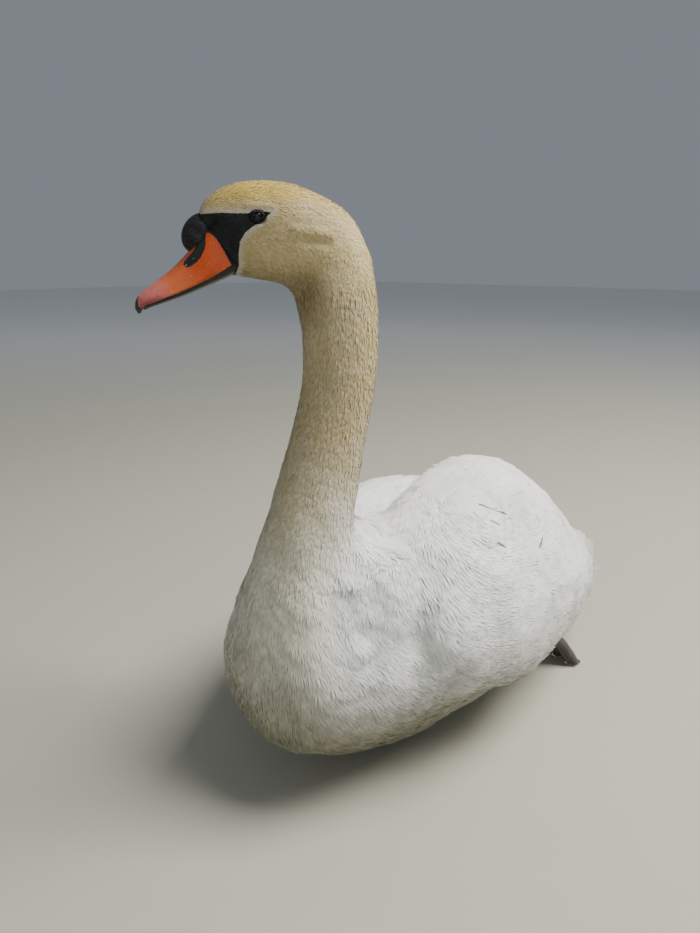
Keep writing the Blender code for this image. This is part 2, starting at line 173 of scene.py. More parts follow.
def tubeFaces(rings, count, closed=False):
    faces = []
    for r in range(rings if closed else rings - 1):
        here, there = r * count, (r + 1) % rings * count
        faces += [(here + i, here + (i + 1) % count, there + (i + 1) % count, there + i) for i in range(count)]
    return faces


def loftMesh(name, rings):
    count = len(rings[0])
    points = [p for ring in rings for p in ring]
    faces = tubeFaces(len(rings), count)
    for r in (0, len(rings) - 1):
        points.append(np.mean(rings[r], axis=0))
        faces += [(r * count + i, r * count + (i + 1) % count, len(points) - 1) for i in range(count)]
    mesh = meshFrom(name, points, faces)
    tidyNormals(mesh)
    return mesh


def workOn(*meshes):
    work = bmesh.new()
    for mesh in meshes:
        work.from_mesh(mesh)
    return work


def joinedWork(parts):
    work = workOn(*parts)
    for part in parts:
        bpy.data.meshes.remove(part)
    return work


def written(work, mesh):
    work.to_mesh(mesh)
    work.free()
    return mesh


def tidyNormals(mesh):
    work = workOn(mesh)
    bmesh.ops.recalc_face_normals(work, faces=work.faces)
    written(work, mesh)


def readArray(items, key="vector", width=3):
    found = np.empty(len(items) * width, np.float32)
    items.foreach_get(key, found)
    return found.reshape(-1, width).astype(float)


def vertexArray(mesh):
    return readArray(mesh.vertices, "co")


def setVertices(mesh, points):
    mesh.vertices.foreach_set("co", np.asarray(points, np.float32).ravel())
    mesh.update()


def normalArray(mesh):
    return readArray(mesh.vertices, "normal")


def storeValues(mesh, name, kind, values):
    if name in mesh.attributes:
        mesh.attributes.remove(mesh.attributes[name])
    made = mesh.attributes.new(name, kind, "POINT")
    key = "vector" if kind == "FLOAT_VECTOR" else "value"
    made.data.foreach_set(key, np.asarray(values, np.float32).ravel())


# Camera, floor and lights.

camera = {
    "place": (0.443, -0.595, 0.500),  # eye height of a crouching person, half a metre from the head
    "toward": (-0.654, 0.701, -0.284),
    "lens": 27.05,
    "sensor": 36.0,
}


def addCamera():
    data = bpy.data.cameras.new("studioCamera")
    data.lens = camera["lens"]
    data.sensor_width = camera["sensor"]
    data.clip_start = 0.01
    data.dof.use_dof = False
    made = bpy.data.objects.new("studioCamera", data)
    bpy.context.scene.collection.objects.link(made)
    forward = Vector(camera["toward"]).normalized()
    right = forward.cross(Vector((0, 0, 1))).normalized()
    up = right.cross(forward)
    place = Matrix((right, up, -forward)).transposed().to_4x4()
    place.translation = camera["place"]
    made.matrix_world = place
    bpy.context.scene.camera = made


studio = {
    "floorSize": 24.0,
    "floorColour": (0.43, 0.42, 0.34),
    "farColour": (0.84, 0.85, 0.84),
    "worldColour": (0.78, 0.86, 0.95),
    "worldStrength": 0.27,
    # place, aimed at, size, power, colour
    "lights": {
        "skyPanel": ((1.05, 0.72, 2.3), (0.0, 0.05, 0.15), 1.3, 128, (1.0, 0.975, 0.93)),
        "frontPanel": ((-0.3, -2.4, 1.6), (0.0, -0.1, 0.25), 1.6, 4, (1.0, 0.98, 0.95)),
        "sidePanel": ((1.9, -1.4, 1.0), (0.0, 0.0, 0.2), 1.4, 7, (0.90, 0.95, 1.0)),
    },
}


def addStudio():
    half = studio["floorSize"] / 2
    floor = linkObject("floor", meshFrom(
        "floor", [(-half, -half, 0), (half, -half, 0), (half, half, 0), (-half, half, 0)], [(0, 1, 2, 3)]
    ))
    finish, tree, shader = newFinish("floorFinish", roughness=0.85)
    place, base = objectPlace(tree), studio["floorColour"]
    near = mixColour(place.cloud(14.0, 4.0), tuple(c * 0.97 for c in base), base)
    # paler far off, where the lamps hardly reach, so that it runs into the backdrop
    distant = place.vector("LENGTH").ramp(1.2, 5.0)
    feed(shader.inputs["Base Color"], mixColour(distant, near, studio["farColour"]))
    floor.data.materials.append(finish)
    world = bpy.data.worlds.new("studioWorld")
    world.use_nodes = True
    backdrop = world.node_tree.nodes["Background"]
    backdrop.inputs["Color"].default_value = (*studio["worldColour"], 1)
    backdrop.inputs["Strength"].default_value = studio["worldStrength"]
    bpy.context.scene.world = world
    for name, (place, aim, size, power, colour) in studio["lights"].items():
        data = bpy.data.lights.new(name, "AREA")
        data.size, data.energy, data.color = size, power, colour
        lamp = bpy.data.objects.new(name, data)
        lamp.location = place
        lamp.rotation_euler = (Vector(aim) - Vector(place)).to_track_quat("-Z", "Y").to_euler()
        bpy.context.scene.collection.objects.link(lamp)


# Nodes and finishes.


class Wire:  # a node's output, so that shares and heights are written as plain sums
    def __init__(self, tree, socket):
        self.tree, self.socket = tree, socket

    def pair(self, kind, other, output=0, **settings):
        made = addNode(self.tree, kind, settings)
        feed(made.inputs[0], self)
        feed(made.inputs[1], other)
        return Wire(self.tree, made.outputs[output])

    def math(self, operation, other=0.0, clamp=False):
        return self.pair("ShaderNodeMath", other, operation=operation, use_clamp=clamp)

    def __add__(self, other):
        return self.math("ADD", other)

    def __sub__(self, other):
        return self.math("SUBTRACT", other)

    def __mul__(self, other):
        return self.math("MULTIPLY", other)

    def most(self, other):
        return self.math("MAXIMUM", other)

    def ramp(self, low, high, toLow=0.0, toHigh=1.0, kind="SMOOTHSTEP"):
        return wireOf(self.tree, "ShaderNodeMapRange", "Result", {"interpolation_type": kind}, **{
            "Value": self, "From Min": low, "From Max": high, "To Min": toLow, "To Max": toHigh})

    def at(self, border):
        return self.ramp(*markBorders[border])

    def vector(self, operation, other=(0.0, 0.0, 0.0)):
        output = "Value" if operation in ("DOT_PRODUCT", "LENGTH") else "Vector"
        return self.pair("ShaderNodeVectorMath", other, output, operation=operation)

    def axes(self):
        return [Wire(self.tree, socket) for socket in addNode(
            self.tree, "ShaderNodeSeparateXYZ", Vector=self).outputs]

    def cloud(self, scale, detail, **more):
        return wireOf(self.tree, "ShaderNodeTexNoise", "Fac", Vector=self, Scale=scale, Detail=detail, **more)

    def squeezed(self, scale):
        return wireOf(self.tree, "ShaderNodeMapping", "Vector", Vector=self, Scale=scale)

    def cells(self, scale, feature):
        return wireOf(self.tree, "ShaderNodeTexVoronoi", "Distance", {"feature": feature}, Vector=self,
                      Scale=scale)


def feed(socket, value):
    if isinstance(value, Wire):
        value.tree.links.new(value.socket, socket)
    elif isinstance(value, tuple) and socket.type == "RGBA":
        socket.default_value = (*value, 1)
    else:
        socket.default_value = value


finishSockets = {
    "colour": "Base Color", "roughness": "Roughness", "specular": "Specular IOR Level", "coat": "Coat Weight",
    "coatRoughness": "Coat Roughness", "sheen": "Sheen Weight", "sheenRoughness": "Sheen Roughness",
    "subsurface": "Subsurface Weight", "subsurfaceScale": "Subsurface Scale",
    "subsurfaceRadius": "Subsurface Radius",
}


def newFinish(name, **values):
    finish = bpy.data.materials.new(name)
    finish.use_nodes = True
    shader = finish.node_tree.nodes["Principled BSDF"]
    for key, value in values.items():
        feed(shader.inputs[finishSockets[key]], value)
    return finish, finish.node_tree, shader


def addNode(tree, kind, settings=None, **values):
    made = tree.nodes.new(kind)
    for key, value in (settings or {}).items():
        setattr(made, key, value)
    for key, value in values.items():
        feed(made.inputs[key], value)
    return made


def wireOf(tree, kind, output=0, settings=None, **values):
    return Wire(tree, addNode(tree, kind, settings, **values).outputs[output])


def attributeWire(tree, name, pick="Fac"):
    return wireOf(tree, "ShaderNodeAttribute", pick, {"attribute_name": name})


def objectPlace(tree):
    return wireOf(tree, "ShaderNodeTexCoord", "Object")


def mixColour(share, a, b, blend="MIX"):
    tree = next(value.tree for value in (share, a, b) if isinstance(value, Wire))
    made = addNode(tree, "ShaderNodeMix", {"data_type": "RGBA", "blend_type": blend})
    for k, value in ((0, share), (6, a), (7, b)):
        feed(made.inputs[k], value)
    return Wire(tree, made.outputs[2])


def bumpFrom(shader, height, strength, distance):
    feed(shader.inputs["Normal"], wireOf(
        height.tree, "ShaderNodeBump", "Normal", Strength=strength, Distance=distance, Height=height))


addCamera()
addStudio()
print("camera, floor and lights are set")

# The skin.

skinPlan = {
    # size of the cells, and rounds of smoothing
    "rough": (0.0045, 2),
    "fill": (0.0055, 6),
    "fine": (0.0034, 10),
    "grooveReach": 0.015,
    "grooveTop": 0.330,
    "finerFrom": [(0.455, 0.0), (0.478, -0.195)],  # the head is split finer above z and in front of y
    "clipY": 0.315,  # behind this there are only wing tips and tail feathers, and no flesh
    "faceFrontY": -0.2695,  # the bill and knob start in front of this, neck straight
    "eyeCentre": (-0.2238, 0.5308),
    "socket": {"depth": 0.0034, "inner": 0.0036, "outer": 0.0064},
    "depths": {"face": 0.0006, "head": 0.0016, "neck": 0.0030, "body": 0.0046},
}
fleshNodes = ["head", "neck_upper", "neck_lower", "trunk", "tail", "wing_left", "wing_right"]
headForward = Vector(turnedVectors(np.array([[0.0, -1.0, 0.0]]), np.array([[0.0, -0.2, 0.5]]))[0])


def cutAway(work, point, normal):
    cut = bmesh.ops.bisect_plane(work, geom=work.verts[:] + work.edges[:] + work.faces[:], dist=1e-6,
                                 plane_co=point, plane_no=normal, clear_outer=True)
    bmesh.ops.holes_fill(work, edges=[e for e in cut["geom_cut"] if isinstance(e, bmesh.types.BMEdge)])


def mergedCopy(name, planes=()):
    work = workOn(nodes[name].data)
    bmesh.ops.remove_doubles(work, verts=work.verts, dist=1e-5)
    for point, normal in planes:
        cutAway(work, point, normal)
    bmesh.ops.recalc_face_normals(work, faces=work.faces)
    return written(work, bpy.data.meshes.new(name + "Copy"))


def largestShell(mesh):
    work = workOn(mesh)
    best, seen = set(), set()
    for start in work.verts:
        if start in seen:
            continue
        shell, waiting = set(), [start]
        while waiting:
            vertex = waiting.pop()
            if vertex not in shell:
                shell.add(vertex)
                waiting += [edge.other_vert(vertex) for edge in vertex.link_edges]
        seen |= shell
        if len(shell) > len(best):
            best = shell
    bmesh.ops.delete(work, geom=[v for v in work.verts if v not in best], context="VERTS")
    written(work, mesh)


def distanceToOutline(points, outline):
    corners = np.array(outline, float)
    best = np.full(len(points), np.inf)
    inside = np.zeros(len(points), bool)
    for a, b in zip(corners, np.roll(corners, -1, axis=0)):
        edge = b - a
        along = np.clip(((points - a) @ edge) / (edge @ edge), 0, 1)
        best = np.minimum(best, np.hypot(*(points - a - along[:, None] * edge).T))
        crosses = (a[1] > points[:, 1]) != (b[1] > points[:, 1])
        with np.errstate(divide="ignore", invalid="ignore"):
            at = a[0] + (points[:, 1] - a[1]) / (b[1] - a[1]) * edge[0]
        inside ^= crosses & (points[:, 0] < at)
    return np.where(inside, -best, best)


# The bare black face, seen from the side with the neck straight: (y, z), from the forehead round the eye.
maskOutline = [
    (-0.300, 0.5330), (-0.2640, 0.5338), (-0.2535, 0.5343), (-0.2420, 0.5338), (-0.2320, 0.5340),
    (-0.2240, 0.5358), (-0.2190, 0.5350), (-0.2135, 0.5343), (-0.2185, 0.5306), (-0.2225, 0.5272),
    (-0.2285, 0.5240), (-0.2345, 0.5195), (-0.2388, 0.5130), (-0.2405, 0.5040), (-0.2408, 0.4950),
    (-0.2440, 0.4870), (-0.2480, 0.4790), (-0.300, 0.4650),
]


def remeshed(mesh, name, voxel, smoothing):
    blank = linkObject(name, mesh)
    fuse = blank.modifiers.new("fuse", "REMESH")
    fuse.mode = "VOXEL"
    fuse.voxel_size = voxel
    relax = blank.modifiers.new("relax", "SMOOTH")
    relax.factor, relax.iterations = 0.5, smoothing
    return settled(blank, name)


def pushed(mesh, by):
    setVertices(mesh, vertexArray(mesh) + normalArray(mesh) * by)


def bridged(mesh):  # the same body with its narrow grooves filled, as feathers lie over them
    work = workOn(mesh)
    cutAway(work, (0, 0, skinPlan["grooveTop"]), (0, 0, 1))
    body = written(work, bpy.data.meshes.new("grooveFill"))
    pushed(body, skinPlan["grooveReach"])
    swollen = remeshed(body, "grooveFill", *skinPlan["fill"])
    pushed(swollen.data, -skinPlan["grooveReach"])
    filled = swollen.data.copy()
    bpy.data.objects.remove(swollen)
    return filled


def buildSkin():
    rear = (Vector((0, skinPlan["clipY"], 0)), Vector((0, 1, 0)))
    frontPoint = Vector(posed([(0, skinPlan["faceFrontY"], 0.52)])[0])
    pieces = [mergedCopy(name, [rear] if name in ("trunk", "tail", "wing_left", "wing_right") else [])
              for name in fleshNodes]
    # fills the pockets that were cut for the bill, knob and eyes
    pieces += [mergedCopy(name, [(frontPoint, headForward)])
               for name in ("bill_upper", "bill_lower", "knob", "eye_left", "eye_right")]
    joined = joinedWork(pieces)
    mesh = bpy.data.meshes.new("skinBlank")
    joined.to_mesh(mesh)
    rough = remeshed(mesh, "roughBody", *skinPlan["rough"])
    filled = bridged(rough.data)
    bpy.data.objects.remove(rough)
    joined.from_mesh(filled)
    skin = remeshed(written(joined, mesh), "skin", *skinPlan["fine"])
    largestShell(skin.data)
    return skin


def refineHead(mesh):
    work = workOn(mesh)
    for lowZ, behindY in skinPlan["finerFrom"]:
        places = straightened([v.co for v in work.verts])
        near = [z > lowZ and y < behindY for _, y, z in places]
        edges = [e for e in work.edges if near[e.verts[0].index] and near[e.verts[1].index]]
        bmesh.ops.subdivide_edges(work, edges=edges, cuts=1, use_grid_fill=True)
        work.verts.index_update()
        places = straightened([v.co for v in work.verts])
        soft = [v for v, (_, y, z) in zip(work.verts, places) if z > lowZ + 0.004 and y < behindY - 0.004]
        bmesh.ops.smooth_vert(work, verts=soft, factor=0.5, use_axis_x=True, use_axis_y=True, use_axis_z=True)
    bmesh.ops.triangulate(work, faces=[f for f in work.faces if len(f.verts) > 4])
    written(work, mesh)


# Where one kind of coat passes into the next: from, to. "Ahead" is measured towards the bill.
borders = {
    "thinHeadUp": (0.44, 0.49), "thinFaceAhead": (0.215, 0.245), "thinNeckUp": (0.21, 0.29),
    "thinNeckAhead": (0.10, 0.13), "cheekOut": (0.010, 0.020), "calmNeckUp": (0.26, 0.36),
    "calmNeckBack": (-0.12, -0.09), "breastAhead": (0.10, 0.17), "breastTop": (0.20, 0.29),
    "featherEdge": (-0.0004, 0.0006), "neckUp": (0.205, 0.255), "neckAhead": (0.100, 0.125),
    "neckOut": (0.058, 0.075), "neckTop": (0.325, 0.335), "headUp": (0.468, 0.482), "faceEdge": (0.004, 0.012),
    "underside": (0.55, 0.9), "rearBack": (-0.02, 0.06), "rearTop": (0.10, 0.16), "wingTop": (0.222, 0.234),
    "wingBack": (-0.075, -0.035), "longBelow": (-0.30, -0.14), "longWingUp": (0.13, 0.20),
}


def past(value, border):
    return ramp(value, *borders[border])


def coatDepth(straight):
    _, y, z = straight.T
    depths = skinPlan["depths"]
    head = past(z, "thinHeadUp")
    face = head * past(-y, "thinFaceAhead")
    neck = past(z, "thinNeckUp") * past(-y, "thinNeckAhead")
    depth = depths["body"] + (depths["neck"] - depths["body"]) * neck
    depth += (depths["head"] - depth) * head
    return depth + (depths["face"] - depth) * face


# Folds and swellings of the plumage: a line on the left side, its width, and how far it lifts the skin.
relief = {
    "bendSwelling": ([(0.080, -0.100, 0.240), (0.107, -0.082, 0.231), (0.132, -0.050, 0.211)], 0.017, 0.0045),
    "bendCrease": ([(0.086, -0.086, 0.2475), (0.107, -0.067, 0.2405), (0.119, -0.048, 0.2350)],
                   0.006, -0.0030),
    "sideFold": ([(0.079, -0.130, 0.204), (0.093, -0.141, 0.185), (0.110, -0.141, 0.167),
                  (0.124, -0.132, 0.147), (0.128, -0.118, 0.122)], 0.014, -0.0045),
    "breastRoll": ([(0.074, -0.168, 0.165), (0.100, -0.166, 0.135), (0.113, -0.148, 0.104)], 0.022, 0.0040),
    "neckRidge": ([(0.0505, -0.1900, 0.209), (0.058, -0.1925, 0.196), (0.067, -0.1940, 0.185),
                   (0.078, -0.1950, 0.172)], 0.007, 0.0036),
    "neckEdge": ([(0.026, -0.1420, 0.264), (0.040, -0.1550, 0.2530), (0.0485, -0.1675, 0.2415),
                  (0.0505, -0.1740, 0.231)], 0.0070, -0.0042),
    "neckFoot": ([(0.034, -0.222, 0.262), (0.040, -0.228, 0.240), (0.050, -0.226, 0.214),
                  (0.060, -0.220, 0.195)], 0.020, 0.0032),
    "rightNeckFoot": ([(-0.042, -0.224, 0.206), (-0.048, -0.218, 0.195), (-0.056, -0.210, 0.182)],
                      0.013, 0.0042),
    "shoulderFill": ([(0.060, -0.180, 0.221), (0.064, -0.182, 0.210), (0.071, -0.183, 0.200)],
                     0.0125, 0.0048),
    "rearSwelling": ([(0.150, 0.090, 0.150), (0.139, 0.140, 0.145), (0.118, 0.200, 0.128)], 0.030, 0.0040),
    "upperBulge": ([(0.095, -0.030, 0.262), (0.108, 0.010, 0.258), (0.100, 0.060, 0.250)], 0.026, 0.0020),
}
oneSided = ("neckEdge", "neckRidge", "rightNeckFoot")  # the neck leans over the left shoulder
rightShare = 0.8  # the other folds are this much lower on the right
# The same for the head, as (y, z) with the neck straight: the fold behind the cheek on both sides.
headRelief = {
    "earRidge": ([(-0.197, 0.5222), (-0.184, 0.5212), (-0.171, 0.5192)], 0.0042, 0.0013),
    "earCrease": ([(-0.190, 0.5138), (-0.180, 0.5128), (-0.172, 0.5120)], 0.0036, -0.0012),
    "brow": ([(-0.233, 0.5385), (-0.224, 0.5400), (-0.214, 0.5390)], 0.0026, 0.0008),
}
ripple = {"height": 0.0016, "length": 0.045, "finer": 2.3, "finerShare": 0.5, "onNeck": 0.25,
          "seed": (3.1, 7.7, 1.9)}
# rows of small swellings that run slantwise down the breast
dapple = {"height": 0.0006, "long": 0.026, "short": 0.0085, "slant": 0.75, "across": (0.731, 0.682)}


def nearLine(points, line):
    best = np.full(len(points), np.inf)
    for a, b in zip(np.array(line[:-1], float), np.array(line[1:], float)):
        edge = b - a
        along = np.clip(((points - a) @ edge) / (edge @ edge), 0, 1)
        best = np.minimum(best, np.linalg.norm(points - a - along[:, None] * edge, axis=1))
    return best


def noiseAt(places):
    return np.array([noise.noise(place) for place in places])


def reliefLift(points):
    lift = np.zeros(len(points))
    mirrored = points * (-1, 1, 1)
    for name, (line, width, height) in relief.items():
        lift += height * bell(nearLine(points, line), width)
        if name not in oneSided:
            lift += rightShare * height * bell(nearLine(mirrored, line), width)
    straight = straightened(points)
    onSide = (straight[:, 2] > 0.47) * past(np.abs(straight[:, 0]), "cheekOut")
    for line, width, height in headRelief.values():
        lift += onSide * height * bell(nearLine(straight[:, 1:], line), width)
    shift = Vector(ripple["seed"])
    waves = noiseAt([Vector(p) / ripple["length"] + shift for p in points])
    finer = noiseAt([Vector(p) * ripple["finer"] / ripple["length"] - shift for p in points])
    body = 1 - past(points[:, 2], "calmNeckUp") * (1 - past(points[:, 1], "calmNeckBack"))
    across = dapple["across"][0] * points[:, 0] + dapple["across"][1] * points[:, 1]
    rows = np.stack([across / dapple["long"], (points[:, 2] + dapple["slant"] * across) / dapple["short"]], 1)
    dapples = noiseAt([Vector((a, b, 0.4)) for a, b in rows])
    onBreast = past(-points[:, 1], "breastAhead") * (1 - past(points[:, 2], "breastTop"))
    swell = ripple["onNeck"] + (1 - ripple["onNeck"]) * body
    return (lift + ripple["height"] * (waves + ripple["finerShare"] * finer) * swell
            + dapple["height"] * dapples * onBreast)


# The bill has its own axes: across, along from its root to the tip, and up from its middle line.
bill = {
    "base": (0.0, -0.256, 0.505),
    "pitch": math.radians(32.0),
    # along, height of the ridge, height of the cutting edge, half width
    "upper": [(-0.0060, 0.0204, -0.0140, 0.0128), (-0.0034, 0.0200, -0.0143, 0.0143),
              (0.0080, 0.0168, -0.0132, 0.0152), (0.0200, 0.0135, -0.0120, 0.0150),
              (0.0400, 0.0095, -0.0092, 0.0147), (0.0600, 0.0086, -0.0054, 0.0147),
              (0.0715, 0.0074, -0.0032, 0.0124), (0.0785, 0.0044, -0.0034, 0.0082),
              (0.0830, -0.0006, -0.0056, 0.0030)],
    # along, lowest height, height of its edge, half width
    "lower": [(-0.0090, -0.0196, -0.0138, 0.0108), (-0.0060, -0.0200, -0.0136, 0.0118),
              (0.0050, -0.0195, -0.0124, 0.0136), (0.0200, -0.0170, -0.0110, 0.0136),
              (0.0400, -0.0136, -0.0088, 0.0131), (0.0600, -0.0088, -0.0047, 0.0126),
              (0.0715, -0.0060, -0.0029, 0.0096), (0.0765, -0.0052, -0.0038, 0.0050)],
    "rootSquareness": 4.2,
    "tipSquareness": 2.3,
    "squareTo": 0.030,
    "nailFrom": 0.0722,
    # the black patch that runs from the nostril up beside the knob: along, up
    "patch": [(0.0296, 0.0068), (0.0284, 0.0040), (0.0248, 0.0027), (0.0200, 0.0028), (0.0153, 0.0038),
              (0.0110, 0.0058), (0.0074, 0.0082), (0.0046, 0.0112), (0.0024, 0.0144), (0.0004, 0.0178),
              (-0.0100, 0.0184), (-0.0100, 0.0400), (0.0150, 0.0300), (0.0104, 0.0178), (0.0128, 0.0136),
              (0.0155, 0.0118), (0.0190, 0.0108), (0.0232, 0.0100), (0.0272, 0.0088)],
    # where the orange ends at the face: along, up
    "orangeRear": [(-0.0026, -0.0180), (-0.0026, -0.0147), (-0.0036, -0.0055), (-0.0041, 0.0000),
                   (-0.0041, 0.0080), (-0.0028, 0.0140), (-0.0012, 0.0176), (0.0000, 0.0260)],
    "nostril": (0.0240, 0.0062),
}
billBase = np.array(bill["base"])
billAlong = np.array([0.0, -math.cos(bill["pitch"]), -math.sin(bill["pitch"])])
billUp = np.array([0.0, -math.sin(bill["pitch"]), math.cos(bill["pitch"])])
upperAt, lowerAt = curveThrough(bill["upper"]), curveThrough(bill["lower"])
knobPlan = {"centre": (0.0, -0.2712, 0.5196), "radii": (0.0118, 0.0132, 0.0168), "tilt": math.radians(-36)}


def billPoints(places):
    places = np.asarray(places, float)
    straight = billBase + np.outer(places[:, 1], billAlong) + np.outer(places[:, 2], billUp)
    straight[:, 0] += places[:, 0]
    return posed(straight)


def billPlaces(straight):
    away = straight - billBase
    return np.stack([straight[:, 0], away @ billAlong, away @ billUp], 1)


def squareness(along):
    return bill["rootSquareness"] + (bill["tipSquareness"] - bill["rootSquareness"]) * float(
        ramp(along, 0.0, bill["squareTo"]))


def narrowedFace(straight):
    places = billPlaces(straight)
    y, z = straight[:, 1] - knobPlan["centre"][1], straight[:, 2] - knobPlan["centre"][2]
    c, s = math.cos(knobPlan["tilt"]), math.sin(knobPlan["tilt"])
    radii = knobPlan["radii"]
    knobShare = ((y * c + z * s) / radii[1]) ** 2 + ((z * c - y * s) / radii[2]) ** 2
    knobWidth = radii[0] * np.sqrt(np.clip(1 - knobShare, 0, 1))
    share = ramp(places[:, 1], -0.024, -0.0035) * (1 - ramp(straight[:, 2], 0.522, 0.536))
    found = straight.copy()
    for i in np.nonzero((share > 0) & (straight[:, 2] > 0.465))[0]:
        along, up = places[i, 1], places[i, 2]
        ridge, edge, width = upperAt(along)
        power = squareness(along)
        if up > edge:
            reach = width * max(1 - min((up - edge) / (ridge - edge), 1) ** power, 0) ** (1 / power)
        else:
            reach = lowerAt(along)[2]
        margin = 0.0006 - 0.0016 * float(ramp(along, -0.0058, -0.0030))
        limit = max(reach + margin, knobWidth[i] - 0.0006, 0.004)
        found[i, 0] -= math.copysign(share[i] * max(abs(found[i, 0]) - limit, 0), found[i, 0])
    return found


skin = buildSkin()
refineHead(skin.data)
skinPoints = posed(narrowedFace(straightened(vertexArray(skin.data))))
setVertices(skin.data, skinPoints)
skinStraight = straightened(skinPoints)
inward = coatDepth(skinStraight) - reliefLift(skinPoints)

# The eyes sit in shallow sockets.
socket = skinPlan["socket"]
fromEye = np.hypot(*(skinStraight[:, 1:] - skinPlan["eyeCentre"]).T)
inward += socket["depth"] * (1 - ramp(fromEye, socket["inner"], socket["outer"])) * (
    np.abs(skinStraight[:, 0]) > 0.012)
setVertices(skin.data, skinPoints - normalArray(skin.data) * inward[:, None])
skin.data.shade_smooth()
skinPoints = vertexArray(skin.data)
skinStraight = straightened(skinPoints)
skinNormals = normalArray(skin.data)
print("the skin has", len(skin.data.polygons), "faces")


# Feathers lie along a line from the forehead over the crown, down the neck and back to the tail: (y, z).
lieLine = [
    (-0.285, 0.505), (-0.262, 0.535), (-0.215, 0.545), (-0.170, 0.520), (-0.160, 0.480), (-0.160, 0.430),
    (-0.163, 0.380), (-0.172, 0.330), (-0.182, 0.280), (-0.190, 0.235), (-0.180, 0.185), (-0.145, 0.142),
    (-0.080, 0.124), (0.000, 0.120), (0.100, 0.115), (0.240, 0.098), (0.460, 0.060),
]


def lieVectors(points, normals):
    straight = straightened(points)
    line = np.array(lieLine, float)
    middles = (line[1:] + line[:-1]) / 2
    steps = line[1:] - line[:-1]
    steps /= np.linalg.norm(steps, axis=1)[:, None]
    away = np.linalg.norm(straight[:, None, 1:] - middles[None], axis=2)
    weights = np.exp(-(away - away.min(axis=1)[:, None]) / 0.022)
    found = (weights @ steps) / weights.sum(axis=1)[:, None]
    lie = turnedVectors(np.stack([np.zeros(len(points)), found[:, 0], found[:, 1]], 1), straight)
    lie -= normals * (lie * normals).sum(axis=1)[:, None]
    return lie / np.maximum(np.linalg.norm(lie, axis=1), 1e-6)[:, None]


def treeOf(mesh):
    return BVHTree.FromPolygons([v.co for v in mesh.vertices], [p.vertices[:] for p in mesh.polygons])


def nearestNode(points, names):
    trees = {name: treeOf(nodes[name].data) for name in names}
    found = []
    for p in points:
        reach = {name: tree.find_nearest(Vector(p), 0.03)[3] for name, tree in trees.items()}
        found.append(min(reach, key=lambda name: reach[name] if reach[name] is not None else 1.0))
    return np.array(found)


def storeSkinValues():
    mesh = skin.data
    sx, sy, sz = skinStraight.T
    bare = distanceToOutline(skinStraight[:, 1:], maskOutline)
    bare = np.where(sz > 0.45, bare, 0.05)
    feathered = past(bare, "featherEdge")
    onNeck = past(sz, "neckUp") * past(-sy, "neckAhead") * (1 - past(np.abs(sx), "neckOut"))
    onNeck = np.maximum(onNeck, past(sz, "neckTop"))
    onHead = past(sz, "headUp")
    owner = nearestNode(skinPoints, ["trunk", "wing_left", "wing_right", "tail", "neck_lower"])
    onWing = np.isin(owner, ["wing_left", "wing_right"]).astype(float)
    onTail = (owner == "tail").astype(float)
    _, py, pz = skinPoints.T
    belly = past(-skinNormals[:, 2], "underside") * (pz < 0.02)
    rearFlank = past(py, "rearBack") * (1 - past(pz, "rearTop"))
    face = onHead * (1 - past(bare, "faceEdge"))
    storeValues(mesh, "lie", "FLOAT_VECTOR", lieVectors(skinPoints, skinNormals))
    storeValues(mesh, "bare", "FLOAT", bare)
    free, behind = (1 - onNeck) * (1 - onWing) * (1 - 0.7 * belly), py >= -0.03
    covers = {
        "coverFace": face * feathered,
        "coverHead": onHead * (1 - face) * feathered,
        "coverNeck": onNeck * (1 - onHead),
        "coverBreast": free * ~behind,
        "coverBack": free * behind * (1 - onTail),
        "coverWing": onWing,
        "coverFlank": onWing * (1 - past(pz - 0.12 * py, "wingTop") * past(py, "wingBack")),
        "coverTail": onTail,
    }
    for name, values in covers.items():
        storeValues(mesh, name, "FLOAT", values)
    storeValues(mesh, "ruffle", "FLOAT", rearFlank)
    sizes = 0.62 + 0.38 * past(-sz, "longBelow")
    storeValues(mesh, "scaleUp", "FLOAT", sizes * (1 + 0.25 * onWing * past(sz, "longWingUp")))
    storeValues(mesh, "headPlace", "FLOAT_VECTOR", skinStraight)


storeSkinValues()
bpy.context.view_layer.objects.active = skin
skin.select_set(True)
bpy.ops.object.mode_set(mode="EDIT")
bpy.ops.mesh.select_all(action="SELECT")
bpy.ops.uv.smart_project(angle_limit=math.radians(60), island_margin=0.003)
bpy.ops.object.mode_set(mode="OBJECT")
skin.select_set(False)
skin.data.uv_layers[0].name = "OFBake"
print("the skin has its flow lines and its flat map")


# Plumage colours. Every place is in metres on the object; the head has its own, unturned axes.
plumage = {
    "white": (0.87, 0.87, 0.845),
    "greyed": (0.72, 0.74, 0.735),
    # painted shade: the front of the breast is darker and warmer than the white
    "breastShade": (0.62, 0.60, 0.48),
    # painted shade: the underside is dark and brown, most towards the front
    "belly": (0.155, 0.137, 0.068),
    "neck": (0.45, 0.36, 0.19),
    "neckWarm": (0.42, 0.32, 0.145),
    "cheek": (0.52, 0.405, 0.185),
    # painted shade under the chin, darker than the neck's own buff
    "throatShade": (0.21, 0.148, 0.048),
    "nape": (0.74, 0.60, 0.29),
    "crown": (0.54, 0.37, 0.045),
    "fringe": (0.58, 0.53, 0.40),
    "bareBlack": (0.005, 0.006, 0.008),
    # paler black on the wrinkles: the skin's own grey texture, with painted sheen
    "wrinkleSheenBlack": (0.022, 0.025, 0.031),
    # painted shadow in the narrow gaps between wing feathers
    "slitShadow": (0.13, 0.12, 0.10),
}
